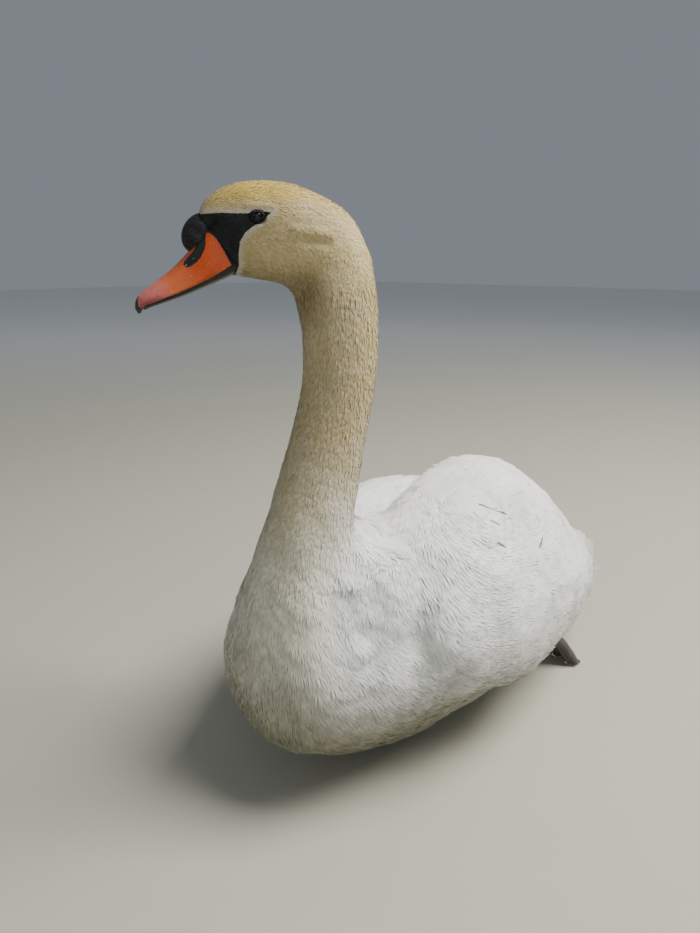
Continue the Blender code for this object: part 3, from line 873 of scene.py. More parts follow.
# where each colour sets in and is full; the last two of four numbers are its least and greatest share
markBorders = {
    "neckUp": (0.195, 0.37), "neckAhead": (-0.308, -0.327), "neckTop": (0.280, 0.340),
    "headUp": (0.470, 0.505), "crownRise": (-0.190, -0.130, 0.0, 0.020), "crown": (0.5375, 0.5500),
    "foreCrown": (-0.160, -0.215, 0.42, 1.0), "crownBack": (-0.150, -0.135), "napeUp": (0.30, 0.47),
    # the breast and belly borders bound painted shade, as do the throat and slit borders below
    "greyed": (0.48, 0.66), "breastShade": (-0.09, -0.20), "bellyShadeDown": (0.19, 0.045),
    "bellyShadeAhead": (0.10, -0.14), "warmSpots": (0.45, 0.70),
    "throatTop": (0.505, 0.480), "throatFoot": (0.440, 0.468), "throatAhead": (-0.165, -0.190),
    "napeBack": (-0.175, -0.135), "fringe": (0.0050, 0.0008), "slitShadow": (0.0017, 0.0006),
}
# narrow gaps between the feathers of the left wing, painted as dark lines of shadow: both ends
wingGapShadows = [
    ((0.0906, -0.0299, 0.2674), (0.0991, -0.0168, 0.2613)),
    ((0.0991, -0.0168, 0.2613), (0.1059, -0.0035, 0.2538)),
    ((0.1042, -0.0274, 0.2533), (0.1103, -0.0203, 0.2482)),
    ((0.1172, -0.0369, 0.2372), (0.1228, -0.0297, 0.2305)),
    ((0.1253, 0.0418, 0.2216), (0.1299, 0.0274, 0.2153)),
]


def plumageGroup():
    tree = bpy.data.node_groups.new("plumageMarks", "ShaderNodeTree")
    for label, way, kind in (("Place", "INPUT", "Vector"), ("Head Place", "INPUT", "Vector"),
                             ("Bare", "INPUT", "Float"), ("Colour", "OUTPUT", "Color")):
        tree.interface.new_socket(label, in_out=way, socket_type="NodeSocket" + kind)
    start, end = tree.nodes.new("NodeGroupInput"), tree.nodes.new("NodeGroupOutput")
    place, head, bare = (Wire(tree, socket) for socket in start.outputs[:3])
    x, y, z = place.axes()
    _, headY, headZ = head.axes()
    mottle, soft = place.cloud(38.0, 3.0), place.cloud(21.0, 4.0, Distortion=0.4)
    drift = (mottle - 0.5) * 0.05
    height = z + drift
    # the neck's colour stops where the shoulders stand behind it
    onNeck = height.at("neckUp") * (y - z * 0.6).at("neckAhead").most(z.at("neckTop"))
    onHead = headZ.at("headUp")
    slope = headZ + headY.at("crownRise") + drift * 0.12
    crown = slope.at("crown") * headY.at("foreCrown")
    nape = headY.at("crownBack") * headZ.at("napeUp")
    layers = {
        "greyed": soft.at("greyed"),
        # painted shade on the front of the breast
        "breastShade": (y + x.math("ABSOLUTE")).at("breastShade"),
        # painted shade under the body, darker towards the bottom and strongest at the front
        "belly": height.at("bellyShadeDown") * (y.at("bellyShadeAhead") * 0.55 + 0.45),
        "neck": onNeck,
        "neckWarm": onNeck * mottle.at("warmSpots") * 0.4,
        "cheek": onHead,
        # painted shade under the chin
        "throatShade": headZ.at("throatTop") * headZ.at("throatFoot") * headY.at("throatAhead"),
        "nape": headY.at("napeBack") * onHead * 0.65,
        "crown": crown.most(nape * 0.28) * 0.92,
        "fringe": bare.at("fringe") * onHead * 0.9,
    }
    colour = plumage["white"]
    for name, share in layers.items():
        colour = mixColour(share, colour, plumage[name])
    # each gap is painted as a thin line of shadow
    for a, b in wingGapShadows:
        run = tuple(np.subtract(b, a))
        away = place.vector("SUBTRACT", a)
        share = away.vector("DOT_PRODUCT", run).math("DIVIDE", float(np.dot(run, run)), True)
        far = away.vector("SUBTRACT", share.vector("MULTIPLY", run)).vector("LENGTH")
        colour = mixColour(far.at("slitShadow"), colour, plumage["slitShadow"])
    feed(end.inputs["Colour"], colour)
    return tree


marksTree = plumageGroup()


def marks(tree):
    bare = attributeWire(tree, "bare")
    head = attributeWire(tree, "headPlace", "Vector")
    return wireOf(tree, "ShaderNodeGroup", "Colour", {"node_tree": marksTree}, **{
        "Place": objectPlace(tree), "Head Place": head, "Bare": bare}), bare


# paler black where the wrinkles rise: the skin's own grey texture, with painted sheen on the wrinkles
def wrinkleSheenBlack(wrinkles, low):
    return mixColour(wrinkles.ramp(low, 0.72), plumage["bareBlack"], plumage["wrinkleSheenBlack"])


def skinFinish():
    finish, tree, shader = newFinish("skinUnderFeathers", specular=0.3)
    colour, bare = marks(tree)
    black = bare.ramp(0.0003, -0.0003)
    feed(shader.inputs["Roughness"], black.ramp(0.0, 1.0, 0.80, 0.48, "LINEAR"))
    # fine wrinkles run from the knob to the eye
    wrinkles = attributeWire(tree, "headPlace", "Vector").squeezed((1.0, 0.35, 2.6)).cloud(
        520.0, 3.0, Distortion=0.6)
    # painted shade: the skin shows only between the feathers, so it is a little darker and warmer
    shaded = mixColour(1.0, colour, (0.94, 0.92, 0.88), "MULTIPLY")
    feed(shader.inputs["Base Color"], mixColour(black, shaded, wrinkleSheenBlack(wrinkles, 0.48)))
    bumpFrom(shader, wrinkles, 0.8, 0.0009)
    return finish


skin.data.materials.append(skinFinish())


def featherFinish(name, lift, striation, tipShare):
    finish, tree, shader = newFinish(name, roughness=0.62, specular=0.30, sheen=0.15, sheenRoughness=0.5)
    colour, _ = marks(tree)
    x, y, _ = attributeWire(tree, "vane", "Vector").axes()
    along = y.ramp(0.0, tipShare)
    # painted shade at the root, where each feather lies under those above it
    shaded = mixColour(along, mixColour(1.0, colour, (0.87, 0.85, 0.80), "MULTIPLY"), colour)
    lighter = mixColour(1.0, shaded, (lift, lift, lift), "ADD")
    tipped = mixColour(attributeWire(tree, "tone") * along, shaded, lighter)
    if striation:  # barbs slant from the shaft to the edge; the edge and the tip are painted a little darker, as painted shadow
        across = (x - 0.5).math("ABSOLUTE")
        edge = across.ramp(0.36, 0.50).most(y.ramp(0.93, 1.0))
        tipped = mixColour(edge, tipped, mixColour(1.0, tipped, (0.84, 0.84, 0.83), "MULTIPLY"))
        bars = ((y * striation - across * (striation * 0.5)) * turn).math("SINE")
        bumpFrom(shader, bars * 0.25 + across.ramp(0.06, 0.02), 0.6, 0.0006)
    feed(shader.inputs["Base Color"], tipped)
    return finish


def vaneMesh(name, points, faces, vane):
    mesh = meshFrom(name, points, faces)
    storeValues(mesh, "vane", "FLOAT_VECTOR", vane)
    mesh.shade_smooth()
    return mesh


# Tufts: small unit-length pieces that the coats repeat. Root at zero, tip along +Y, outside along +Z.
def stripTuft(name, strips, rows=(0.0, 0.4, 0.75), seed=1):
    rng = np.random.default_rng(seed)
    points, faces, vane = [], [], []
    for start, end, length, width, lift in strips:
        first = len(points)
        sway = rng.uniform(-0.05, 0.05)
        for t in rows:
            half = width * (0.55 + 0.9 * t * (1 - t) * 2) * (1 - 0.35 * t)
            middle = start + (end - start) * t**1.3 + sway * math.sin(math.pi * t)
            rise = lift * math.sin(math.pi * min(t * 0.8, 1)) - 0.03 * t
            for side in (-1, 1):
                points.append((middle + side * half, length * t, rise - 0.12 * half))
                vane.append((0.5 + (middle + side * half), length * t, 0))
        points.append((end, length, lift * 0.55 - 0.05))
        vane.append((0.5 + end, 1.0, 0))
        last = first + 2 * (len(rows) - 1)
        faces += [(a, a + 1, a + 3, a + 2) for a in range(first, last, 2)] + [(last, last + 1, last + 2)]
    return vaneMesh(name, points, faces, np.clip(vane, 0, 1))


def contourVane(name, width, fingers, seed, curl=0.0):
    rng = np.random.default_rng(seed)
    points, vane = [], []
    rows = ((0.0, 0.35), (0.30, 0.85), (0.58, 1.0))  # how far along, and its share of the width

    def height(u, t):
        return -0.10 * width * u * u * 4 + 0.035 * math.sin(math.pi * t) - 0.03 * t * t + curl * t * t

    for t, wide in rows:
        for c in range(fingers + 1):
            u = c / fingers - 0.5
            points.append((u * width * wide, t * (1 - 0.25 * (2 * u) ** 2 * t), height(u * wide, t)))
            vane.append((u + 0.5, t, 0))
    faces = gridFaces(len(rows) - 1, fingers)
    base, lastRow = (len(rows) - 1) * (fingers + 1), rows[-1][0]
    for c in range(fingers):
        u = (c + 0.5) / fingers - 0.5
        tip = (1.0 - 0.55 * (2 * u) ** 2) * rng.uniform(0.90, 1.08)
        middle = lastRow + (tip - lastRow) * 0.55
        halfFinger = 0.34 * width / fingers
        drift = rng.uniform(-0.03, 0.03)
        first = len(points)
        for side in (-1, 1):
            points.append((u * width * 0.98 + side * halfFinger + drift * 0.5, middle,
                           height(u, middle) + rng.uniform(-0.008, 0.008)))
            vane.append((u + 0.5, middle, 0))
        points.append((u * width * 0.86 + drift, tip, height(u, tip) + rng.uniform(-0.02, 0.012)))
        vane.append((u + 0.5, 1.0, 0))
        faces += [(base + c, base + c + 1, first + 1, first), (first, first + 1, first + 2)]
    return vaneMesh(name, points, faces, np.clip(vane, 0, 1))


def tuftShelf(name, meshes):
    shelf = bpy.data.collections.new(name)
    for mesh in meshes:
        shelf.objects.link(bpy.data.objects.new(mesh.name, mesh))
    return shelf


def clearShelf(shelf):
    for made in list(shelf.objects):
        mesh = made.data
        bpy.data.objects.remove(made)
        bpy.data.meshes.remove(mesh)
    bpy.data.collections.remove(shelf)


def newTree(name, inputs):
    tree = bpy.data.node_groups.new(name, "GeometryNodeTree")
    tree.interface.new_socket("Geometry", in_out="INPUT", socket_type="NodeSocketGeometry")
    for label, kind in inputs.items():
        tree.interface.new_socket(label, in_out="INPUT", socket_type="NodeSocket" + kind)
    tree.interface.new_socket("Geometry", in_out="OUTPUT", socket_type="NodeSocketGeometry")
    given = {socket.name: Wire(tree, socket) for socket in tree.nodes.new("NodeGroupInput").outputs}
    return tree, given, tree.nodes.new("NodeGroupOutput").inputs["Geometry"]


def named(tree, name, kind="FLOAT"):
    return wireOf(tree, "GeometryNodeInputNamedAttribute", "Attribute", {"data_type": kind}, Name=name)


def randomValue(seed, offset, low, high, kind="FLOAT"):
    made = addNode(seed.tree, "FunctionNodeRandomValue", {"data_type": kind})
    for socket, value in zip([s for s in made.inputs if s.enabled], (low, high)):
        feed(socket, value)
    feed(made.inputs["Seed"], seed + offset)
    return Wire(seed.tree, [s for s in made.outputs if s.enabled][0])


def storeNamed(geometry, name, kind, domain, value):
    made = addNode(geometry.tree, "GeometryNodeStoreNamedAttribute", {"data_type": kind, "domain": domain},
                   Name=name, Geometry=geometry)
    feed([s for s in made.inputs if s.enabled and s.name == "Value"][0], value)
    return Wire(geometry.tree, made.outputs["Geometry"])


def combine(tree, x, y, z):
    return wireOf(tree, "ShaderNodeCombineXYZ", X=x, Y=y, Z=z)


def turnedBy(tree, x, y, z):
    return wireOf(tree, "FunctionNodeEulerToRotation", Euler=combine(tree, x, y, z))


patchSize = 0.003


def plantTufts(given, end, points, rotation, size, pick):
    tree = points.tree
    shelf = wireOf(tree, "GeometryNodeCollectionInfo", **{
        "Collection": given["Tufts"], "Separate Children": True, "Reset Children": True})
    put = wireOf(tree, "GeometryNodeInstanceOnPoints", **{
        "Points": points, "Instance": shelf, "Pick Instance": True, "Rotation": rotation, "Scale": size,
        "Instance Index": randomValue(given["Seed"], pick, 0, 99, "INT")})
    real = wireOf(tree, "GeometryNodeRealizeInstances", Geometry=put)
    # each tuft takes a small patch of the flat map round its root
    patch = named(tree, "vane", "FLOAT_VECTOR").vector("SUBTRACT", (0.5, 0.5, 0.0)).vector(
        "MULTIPLY", (patchSize, patchSize, 0.0))
    place = named(tree, "rootUV", "FLOAT_VECTOR").vector("ADD", patch)
    mapped = storeNamed(real, "OFBake", "FLOAT2", "CORNER", place)
    feed(end, wireOf(tree, "GeometryNodeSetMaterial", Geometry=mapped, Material=given["Finish"]))


def coatTree():
    sizes = ("Gap", "Length", "Tilt", "Tilt Spread", "Twist Spread", "Ruffle")
    tree, given, end = newTree("featherCoat", {
        "Cover": "String", **dict.fromkeys(sizes, "Float"), "Seed": "Int", "Tufts": "Collection",
        "Finish": "Material"})
    seed = given["Seed"]
    scatter = addNode(tree, "GeometryNodeDistributePointsOnFaces", {"distribute_method": "POISSON"}, **{
        "Mesh": given["Geometry"], "Distance Min": given["Gap"], "Density Max": 4.0e6,
        "Density Factor": named(tree, given["Cover"]), "Seed": seed})
    upright = wireOf(tree, "FunctionNodeAxesToRotation", 0, {"primary_axis": "Z", "secondary_axis": "Y"}, **{
        "Primary Axis": Wire(tree, scatter.outputs["Normal"]),
        "Secondary Axis": named(tree, "lie", "FLOAT_VECTOR")})
    loosen = named(tree, "ruffle") * given["Ruffle"] + 1.0
    tiltSway, twistSway = given["Tilt Spread"] * loosen, given["Twist Spread"] * loosen
    tilt = given["Tilt"] + randomValue(seed, 11, tiltSway * -1.0, tiltSway)
    twist = randomValue(seed, 23, twistSway * -1.0, twistSway)
    sway = turnedBy(tree, tilt, randomValue(seed, 31, -0.12, 0.12), twist)
    rotation = upright.pair("FunctionNodeRotateRotation", sway, rotation_space="LOCAL")
    grow = given["Length"] * (named(tree, "scaleUp") * randomValue(seed, 47, 0.72, 1.22))
    broad = grow * randomValue(seed, 53, 0.85, 1.15)
    points = Wire(tree, scatter.outputs["Points"])
    points = storeNamed(points, "rootUV", "FLOAT_VECTOR", "POINT", named(tree, "OFBake", "FLOAT_VECTOR"))
    points = storeNamed(points, "tone", "FLOAT", "POINT", randomValue(seed, 61, 0.0, 1.0))
    plantTufts(given, end, points, rotation, combine(tree, broad, grow, grow), 71)
    return tree


def runTree(source, tree, name, values):
    modifier = source.modifiers.new("coat", "NODES")
    modifier.node_group = tree
    for item in tree.interface.items_tree:
        if item.item_type == "SOCKET" and item.in_out == "INPUT" and item.name in values:
            modifier[item.identifier] = values[item.name]
    bpy.context.view_layer.update()
    graph = bpy.context.evaluated_depsgraph_get()
    mesh = bpy.data.meshes.new_from_object(source.evaluated_get(graph))
    source.modifiers.remove(modifier)
    mesh.name = name
    for extra in [a.name for a in mesh.attributes if a.name not in keptValues and not a.is_internal
                  and a.name not in ("position", "material_index", "sharp_face", "sharp_edge")]:
        mesh.attributes.remove(mesh.attributes[extra])
    made = linkObject(name, mesh)
    triangles = sum(len(p.vertices) - 2 for p in mesh.polygons)
    print(name, "has", triangles, "triangles")
    return made


keptValues = ("OFBake", "vane", "tone", "bare", "headPlace")
softFinish = featherFinish("softFeather", 0.10, 0.0, 0.55)
coverFinish = featherFinish("coverFeather", 0.06, 26.0, 0.35)

neckTufts = tuftShelf("neckTufts", [
    stripTuft("neckTuft%d" % k, [(-0.03, -0.10 + 0.02 * k, 0.90, 0.078, 0.06),
                                 (0.03, 0.08 + 0.02 * k, 1.0, 0.082, 0.08)], seed=k) for k in range(4)])
headTufts = tuftShelf("headTufts", [
    stripTuft("headTuft%d" % k, [(-0.03, -0.12, 0.92, 0.12, 0.05), (0.03, 0.10 + 0.02 * k, 1.0, 0.13, 0.07)],
              rows=(0.0, 0.55), seed=10 + k) for k in range(3)])
bodyVanes = tuftShelf("bodyVanes", [
    contourVane("bodyVane%d" % k, 0.62, 6, 20 + k, 0.01 * k) for k in range(4)])
strandTufts = tuftShelf("strandTufts", [
    stripTuft("strandTuft%d" % k, [
        (-0.06, -0.22 + 0.03 * k, 0.84, 0.055, 0.04), (0.05, 0.20, 0.88, 0.060, 0.05),
        (-0.02, -0.08, 1.0, 0.055, 0.07), (0.02, 0.07, 0.95, 0.055, 0.05)
    ], rows=(0.0, 0.5), seed=40 + k) for k in range(4)])


def coatPlan(cover, gap, length, tilt, tiltSpread, twistSpread, ruffle, seed, tufts):
    return {"Cover": cover, "Gap": gap, "Length": length, "Tilt": tilt, "Tilt Spread": tiltSpread,
            "Twist Spread": twistSpread, "Ruffle": ruffle, "Seed": seed, "Tufts": tufts, "Finish": softFinish}


coats = {
    "faceFeathers": coatPlan("coverFace", 0.00075, 0.0040, 0.12, 0.07, 0.20, 0.0, 1, headTufts),
    "headFeathers": coatPlan("coverHead", 0.00105, 0.0070, 0.09, 0.06, 0.18, 0.0, 2, headTufts),
    "neckFeathers": coatPlan("coverNeck", 0.00142, 0.0125, 0.085, 0.055, 0.16, 0.0, 3, neckTufts),
    "breastDown": coatPlan("coverBreast", 0.0058, 0.0170, -0.012, 0.010, 0.20, 0.0, 4, bodyVanes),
    "breastFeathers": coatPlan("coverBreast", 0.00225, 0.0150, 0.070, 0.034, 0.20, 0.0, 5, strandTufts),
    "backDown": coatPlan("coverBack", 0.0064, 0.0210, 0.010, 0.020, 0.25, 1.0, 6, bodyVanes),
    "backFeathers": coatPlan("coverBack", 0.0033, 0.0165, 0.080, 0.050, 0.30, 1.5, 7, strandTufts),
    "wingDown": coatPlan("coverWing", 0.0074, 0.0200, -0.012, 0.010, 0.15, 0.5, 8, bodyVanes),
    "flankFeathers": coatPlan("coverFlank", 0.0030, 0.0165, 0.062, 0.028, 0.22, 2.2, 9, strandTufts),
    "tailCoverts": coatPlan("coverTail", 0.0060, 0.0380, 0.05, 0.05, 0.18, 0.5, 10, bodyVanes),
}
coat = coatTree()
plumagePieces = []
for name, plan in coats.items():
    plumagePieces.append(runTree(skin, coat, name, plan))
for shelf in (neckTufts, headTufts, bodyVanes, strandTufts):
    clearShelf(shelf)


# Folded wings. Long vanes are laid out on a flat sheet (place round the section, place along the wing)
# and then wrapped round the wing.
wingPlan = {
    # y, x of the middle, z of the middle, half height, half thickness, lean in degrees
    "sections": [
        (-0.150, 0.086, 0.172, 0.055, 0.030, 22), (-0.120, 0.084, 0.178, 0.085, 0.044, 27),
        (-0.075, 0.088, 0.190, 0.106, 0.048, 28), (-0.015, 0.098, 0.193, 0.125, 0.043, 24),
        (0.035, 0.096, 0.191, 0.125, 0.045, 25), (0.100, 0.092, 0.184, 0.111, 0.042, 27),
        (0.170, 0.079, 0.160, 0.088, 0.035, 34), (0.240, 0.060, 0.130, 0.062, 0.025, 46),
        (0.305, 0.042, 0.111, 0.044, 0.015, 57), (0.355, 0.029, 0.102, 0.026, 0.008, 65),
        (0.388, 0.020, 0.095, 0.011, 0.003, 68),
    ],
    "startY": -0.150,
    "lift": {1: 1.0, -1: 0.57},
    "stations": 150,
    "frontRound": 0.03,
    "vaneShare": 0.52,  # of a vane's width that its neighbour leaves in view
    "tipY": 0.392,
    "camber": 0.035,
    "placesRound": (-0.15, 1.40, 110),  # 0 is the lower edge, 1 the upper one, past 1 the inner side
    # rows of vanes: first and last root, rows, lowest and highest place, width, length, root and tip height
    "rows": {
        "lesserCoverts": (-0.066, -0.015, 4, 0.74, 1.30, 0.019, 0.040, 0.0002, 0.0028),
        "medianCoverts": (-0.005, 0.035, 4, 0.68, 1.30, 0.024, 0.056, 0.0002, 0.0028),
        "greaterCoverts": (0.045, 0.095, 3, 0.62, 1.26, 0.028, 0.080, 0.0002, 0.0027),
        "secondaries": (0.110, 0.180, 4, 0.52, 1.20, 0.027, 0.115, 0.0002, 0.0026),
        "primaries": (0.205, 0.240, 2, 0.40, 1.05, 0.022, 0.145, 0.0002, 0.0024),
        "lowerCoverts": (0.175, 0.215, 3, 0.10, 0.60, 0.022, 0.075, 0.0002, 0.0026),
    },
}


def wingSheet(side):
    plan = wingPlan
    sizeAt = curveThrough(plan["sections"])
    lift = plan["lift"][side]
    ys = np.linspace(plan["sections"][0][0], plan["sections"][-1][0], plan["stations"])
    angles = np.radians(np.linspace(-135, 235, 260))
    low, high, count = plan["placesRound"]
    places = np.linspace(low, high, count)
    points, spans = np.empty((len(ys), count, 3)), np.empty(len(ys))
    for k, y in enumerate(ys):
        x, z, height, thickness, lean = sizeAt(y)
        fromFront = (plan["startY"] + plan["frontRound"] - y) / plan["frontRound"]
        height *= math.sqrt(max(1 - max(fromFront, 0.0) ** 2, 0.04))
        lowered = height * (1 - lift)
        lean = math.radians(lean)
        up = np.sin(angles)
        localX = thickness * np.cos(angles) - 0.14 * height * up * up
        localZ = (height - lowered / 2) * up - lowered / 2
        worldX = np.maximum(x + localX * math.cos(lean) - localZ * math.sin(lean), 0.0012)
        worldZ = z + localX * math.sin(lean) + localZ * math.cos(lean)
        run = np.concatenate([[0], np.cumsum(np.hypot(np.diff(worldX), np.diff(worldZ)))])
        bottom, top = np.interp([-math.pi / 2, math.pi / 2], angles, run)
        share = (run - bottom) / (top - bottom)
        points[k] = np.stack([side * np.interp(places, share, worldX), np.full(count, y),
                              np.interp(places, share, worldZ)], 1)
        spans[k] = top - bottom
    normals = sheetNormals(points, side)
    # the sheet is laid on the skin where there is skin under it
    for k, y in enumerate(ys):
        overFlesh = y < skinPlan["clipY"] - 0.012
        for j in range(count):
            p, n = Vector(points[k, j]), Vector(normals[k, j])
            hit = skinTree.ray_cast(p + n * 0.020, -n, 0.050)[0] if overFlesh else None
            points[k, j] = hit if hit is not None else p - n * skinPlan["depths"]["body"]
    for _ in range(6):
        inner = (points[2:, 1:-1] + points[:-2, 1:-1] + points[1:-1, 2:] + points[1:-1, :-2]) / 4
        points[1:-1, 1:-1] = (points[1:-1, 1:-1] + inner) / 2
    return ys, places, points, sheetNormals(points, side), spans


def sheetNormals(points, side):
    normals = np.cross(np.gradient(points, axis=0), np.gradient(points, axis=1)) * side
    return normals / np.maximum(np.linalg.norm(normals, axis=2), 1e-9)[:, :, None]


def readSheet(grid, rowAt, columnAt):
    rowAt = np.clip(rowAt, 0, grid.shape[0] - 1.001)
    columnAt = np.clip(columnAt, 0, grid.shape[1] - 1.001)
    r, c = rowAt.astype(int), columnAt.astype(int)
    fr, fc = (rowAt - r)[:, None], (columnAt - c)[:, None]
    return (grid[r, c] * (1 - fr) * (1 - fc) + grid[r + 1, c] * fr * (1 - fc)
            + grid[r, c + 1] * (1 - fr) * fc + grid[r + 1, c + 1] * fr * fc)


def wrapper(ys, places, points, normals):
    def wrap(place, y, lift):
        rowAt = (y - ys[0]) / (ys[-1] - ys[0]) * (len(ys) - 1)
        columnAt = (place - places[0]) / (places[-1] - places[0]) * (len(places) - 1)
        base = readSheet(points, rowAt, columnAt)
        beyond = np.maximum(y - ys[-1], 0)
        base[:, 1] += beyond
        return base + readSheet(normals, rowAt, columnAt) * lift[:, None]
    return wrap


def longVane(name, columns, rows, notches, seed):
    rng = np.random.default_rng(seed)
    points = []
    bites = {(int(rng.integers(rows // 3, rows - 1)), int(rng.choice([-1, 1]))) for _ in range(notches)}
    for r in range(rows + 1):
        t = 1 - (1 - r / rows) ** 1.35
        half = 0.5 * min(1.0, 0.25 + 3.2 * t) * math.sqrt(max(1 - max((t - 0.72) / 0.285, 0) ** 2, 0.0))
        half *= 1 + rng.uniform(-0.03, 0.03)
        for c in range(columns + 1):
            u = 2 * c / columns - 1
            bite = 0.72 if (r, int(np.sign(u))) in bites and abs(u) > 0.6 else 1.0
            points.append((u * half * bite, t, 0))
    return vaneMesh(name, points, gridFaces(rows, columns), [(0.5 + x, t, 0) for x, t, _ in points])


def rowTree():
    tree, given, end = newTree("vaneRows", {"Tufts": "Collection", "Finish": "Material", "Seed": "Int"})
    points = wireOf(tree, "GeometryNodeMeshToPoints", Mesh=given["Geometry"])
    points = storeNamed(points, "tone", "FLOAT", "POINT", randomValue(given["Seed"], 3, 0.0, 1.0))
    plantTufts(given, end, points, turnedBy(tree, 0.0, 0.0, named(tree, "swing")),
               named(tree, "vaneSize", "FLOAT_VECTOR"), 5)
    return tree


skinTree = treeOf(skin.data)


def rootPlaces(points):
    flat = skin.data.uv_layers["OFBake"].data
    found = []
    for p in points:
        face = skin.data.polygons[skinTree.find_nearest(Vector(p))[2]]
        found.append((*flat[face.loop_indices[0]].uv, 0.0))
    return found


vaneRows = rowTree()
keptValues += ("heights",)


def layVanes(name, guides, vaneShelf, wrap, camber, seed, reach):
    # columns: place, y, width in places, length, swing, root height, tip height, width
    table = np.array(guides, float)
    roots = wrap(table[:, 0], table[:, 1], np.zeros(len(table)))
    near = np.array([skinTree.find_nearest(Vector(p))[3] < reach for p in roots])
    print(name, "lays", int(near.sum()), "of", len(near), "vanes")
    table, roots = table[near], roots[near]
    guide = linkObject(name + "Guide", meshFrom(name + "Guide", np.stack(
        [table[:, 0], table[:, 1], np.zeros(len(table))], 1), []))
    storeValues(guide.data, "vaneSize", "FLOAT_VECTOR", np.stack([table[:, 2], table[:, 3], table[:, 3]], 1))
    storeValues(guide.data, "swing", "FLOAT", table[:, 4])
    storeValues(guide.data, "heights", "FLOAT_VECTOR", np.stack([table[:, 5], table[:, 6], table[:, 7]], 1))
    storeValues(guide.data, "rootUV", "FLOAT_VECTOR", rootPlaces(roots))
    piece = runTree(guide, vaneRows, name, {"Tufts": vaneShelf, "Finish": coverFinish, "Seed": seed})
    bpy.data.objects.remove(guide)
    mesh = piece.data
    flat = vertexArray(mesh)
    vane, heights = (readArray(mesh.attributes[key].data) for key in ("vane", "heights"))
    tone = readArray(mesh.attributes["tone"].data, "value", 1)[:, 0]
    across = 2 * vane[:, 0] - 1
    lift = heights[:, 0] + (heights[:, 1] - heights[:, 0]) * vane[:, 1] ** 1.2
    lift += heights[:, 2] * camber * (1 - across**2) + 0.0012 * (tone - 0.5) * vane[:, 1]
    setVertices(mesh, wrap(flat[:, 0], flat[:, 1], lift))
    mesh.attributes.remove(mesh.attributes["heights"])
    mesh.attributes.remove(mesh.attributes["vane"])
    storeValues(mesh, "vane", "FLOAT_VECTOR", vane)
    mesh.shade_smooth()
    return piece


def wingVanes(side):
    ys, places, points, normals, spans = wingSheet(side)
    wrap = wrapper(ys, places, points, normals)
    rng = np.random.default_rng(100 + side)
    guides = []
    for first, last, rows, low, high, width, length, rootHeight, tipHeight in wingPlan["rows"].values():
        for k in range(rows):
            y = first + (last - first) * k / max(rows - 1, 1)
            span = float(np.interp(y, ys, spans))
            count = max(int((high - low) * span / (width * wingPlan["vaneShare"])), 2)
            for j in range(count):
                place = low + (high - low) * (j + 0.5 * (k % 2)) / (count - 1) + rng.normal(0, 0.006)
                reach = length * rng.uniform(0.90, 1.10)
                fringe = min(j, count - 1 - j, 2) / 2  # the outermost vanes lie flattest
                reach = min(reach, wingPlan["tipY"] - y + rng.uniform(-0.012, 0.0))
                guides.append((place, y + rng.normal(0, 0.0025), width / span * rng.uniform(0.92, 1.1), reach,
                               rng.normal(0.0, 0.05), rootHeight,
                               tipHeight * (0.25 + 0.75 * fringe) + rng.normal(0, 0.0002), width))
    return layVanes(sideName("wingFeathers", side), guides, wingShelf, wrap, wingPlan["camber"],
                    7 + side, 0.014)


wingShelf = tuftShelf("wingShelf", [longVane("wingVane%d" % k, 6, 9, 2, 60 + k) for k in range(5)])
plumagePieces += [wingVanes(1), wingVanes(-1)]

# Tail: a closed fan of stiff vanes, the middle ones on top.
tailPlan = {
    # y, z of the middle, half width, half thickness
    "sections": [(0.200, 0.096, 0.034, 0.020), (0.270, 0.088, 0.052, 0.017), (0.330, 0.078, 0.056, 0.013),
                 (0.370, 0.070, 0.050, 0.009), (0.405, 0.064, 0.045, 0.006), (0.455, 0.058, 0.040, 0.003)],
    "vanes": 22,
    "rootY": 0.268,
    "tipY": 0.458,
    "sideTipY": 0.352,
    "width": 0.021,
    "camber": 0.12,
}


def tailVanes():
    sizeAt = curveThrough(tailPlan["sections"])

    def wrap(x, y, lift):
        rows = np.array([sizeAt(v) for v in y])
        across = np.clip(np.abs(x) / rows[:, 1], 0, 1.3)
        arch = rows[:, 2] * np.sqrt(np.clip(1 - across**2, 0, 1)) * 0.8
        top = rows[:, 0] + arch - 0.10 * rows[:, 1] * across**2
        return np.stack([x, y, top + lift - 0.003], 1)

    rng = np.random.default_rng(9)
    guides = []
    count = tailPlan["vanes"]
    for k in range(count):
        a = 2 * k / (count - 1) - 1
        tip = tailPlan["tipY"] - (tailPlan["tipY"] - tailPlan["sideTipY"]) * abs(a) ** 1.5
        rootX, tipX = 0.036 * a, 0.050 * a * (1 - 0.35 * (1 - abs(a)))
        length = tip - tailPlan["rootY"] + rng.uniform(-0.002, 0.002)
        swing = -math.atan2(tipX - rootX, length)
        level = 0.004 * (1 - abs(a)) - 0.002
        guides.append((rootX, tailPlan["rootY"], tailPlan["width"], length, swing, level, level, 0.016))
    return layVanes("tailFeathers", guides, wingShelf, wrap, tailPlan["camber"], 17, 0.05)


plumagePieces.append(tailVanes())
clearShelf(wingShelf)
print("wings and tail are feathered")

# Bill, knob and eyes.
def ringMesh(name, places, ringCount):
    perRing = len(places) // ringCount
    points = billPoints(places)
    rings = points.reshape(ringCount, perRing, 3)
    mesh = loftMesh(name, [list(ring) for ring in rings])
    full = np.concatenate([places, [places[:perRing].mean(axis=0), places[-perRing:].mean(axis=0)]])
    storeValues(mesh, "billPlace", "FLOAT_VECTOR", full)
    mesh.shade_smooth()
    return mesh, full


def superellipse(angles, power):
    c, s = np.cos(angles), np.sin(angles)
    return np.sign(c) * np.abs(c) ** (2 / power), np.sign(s) * np.abs(s) ** (2 / power)


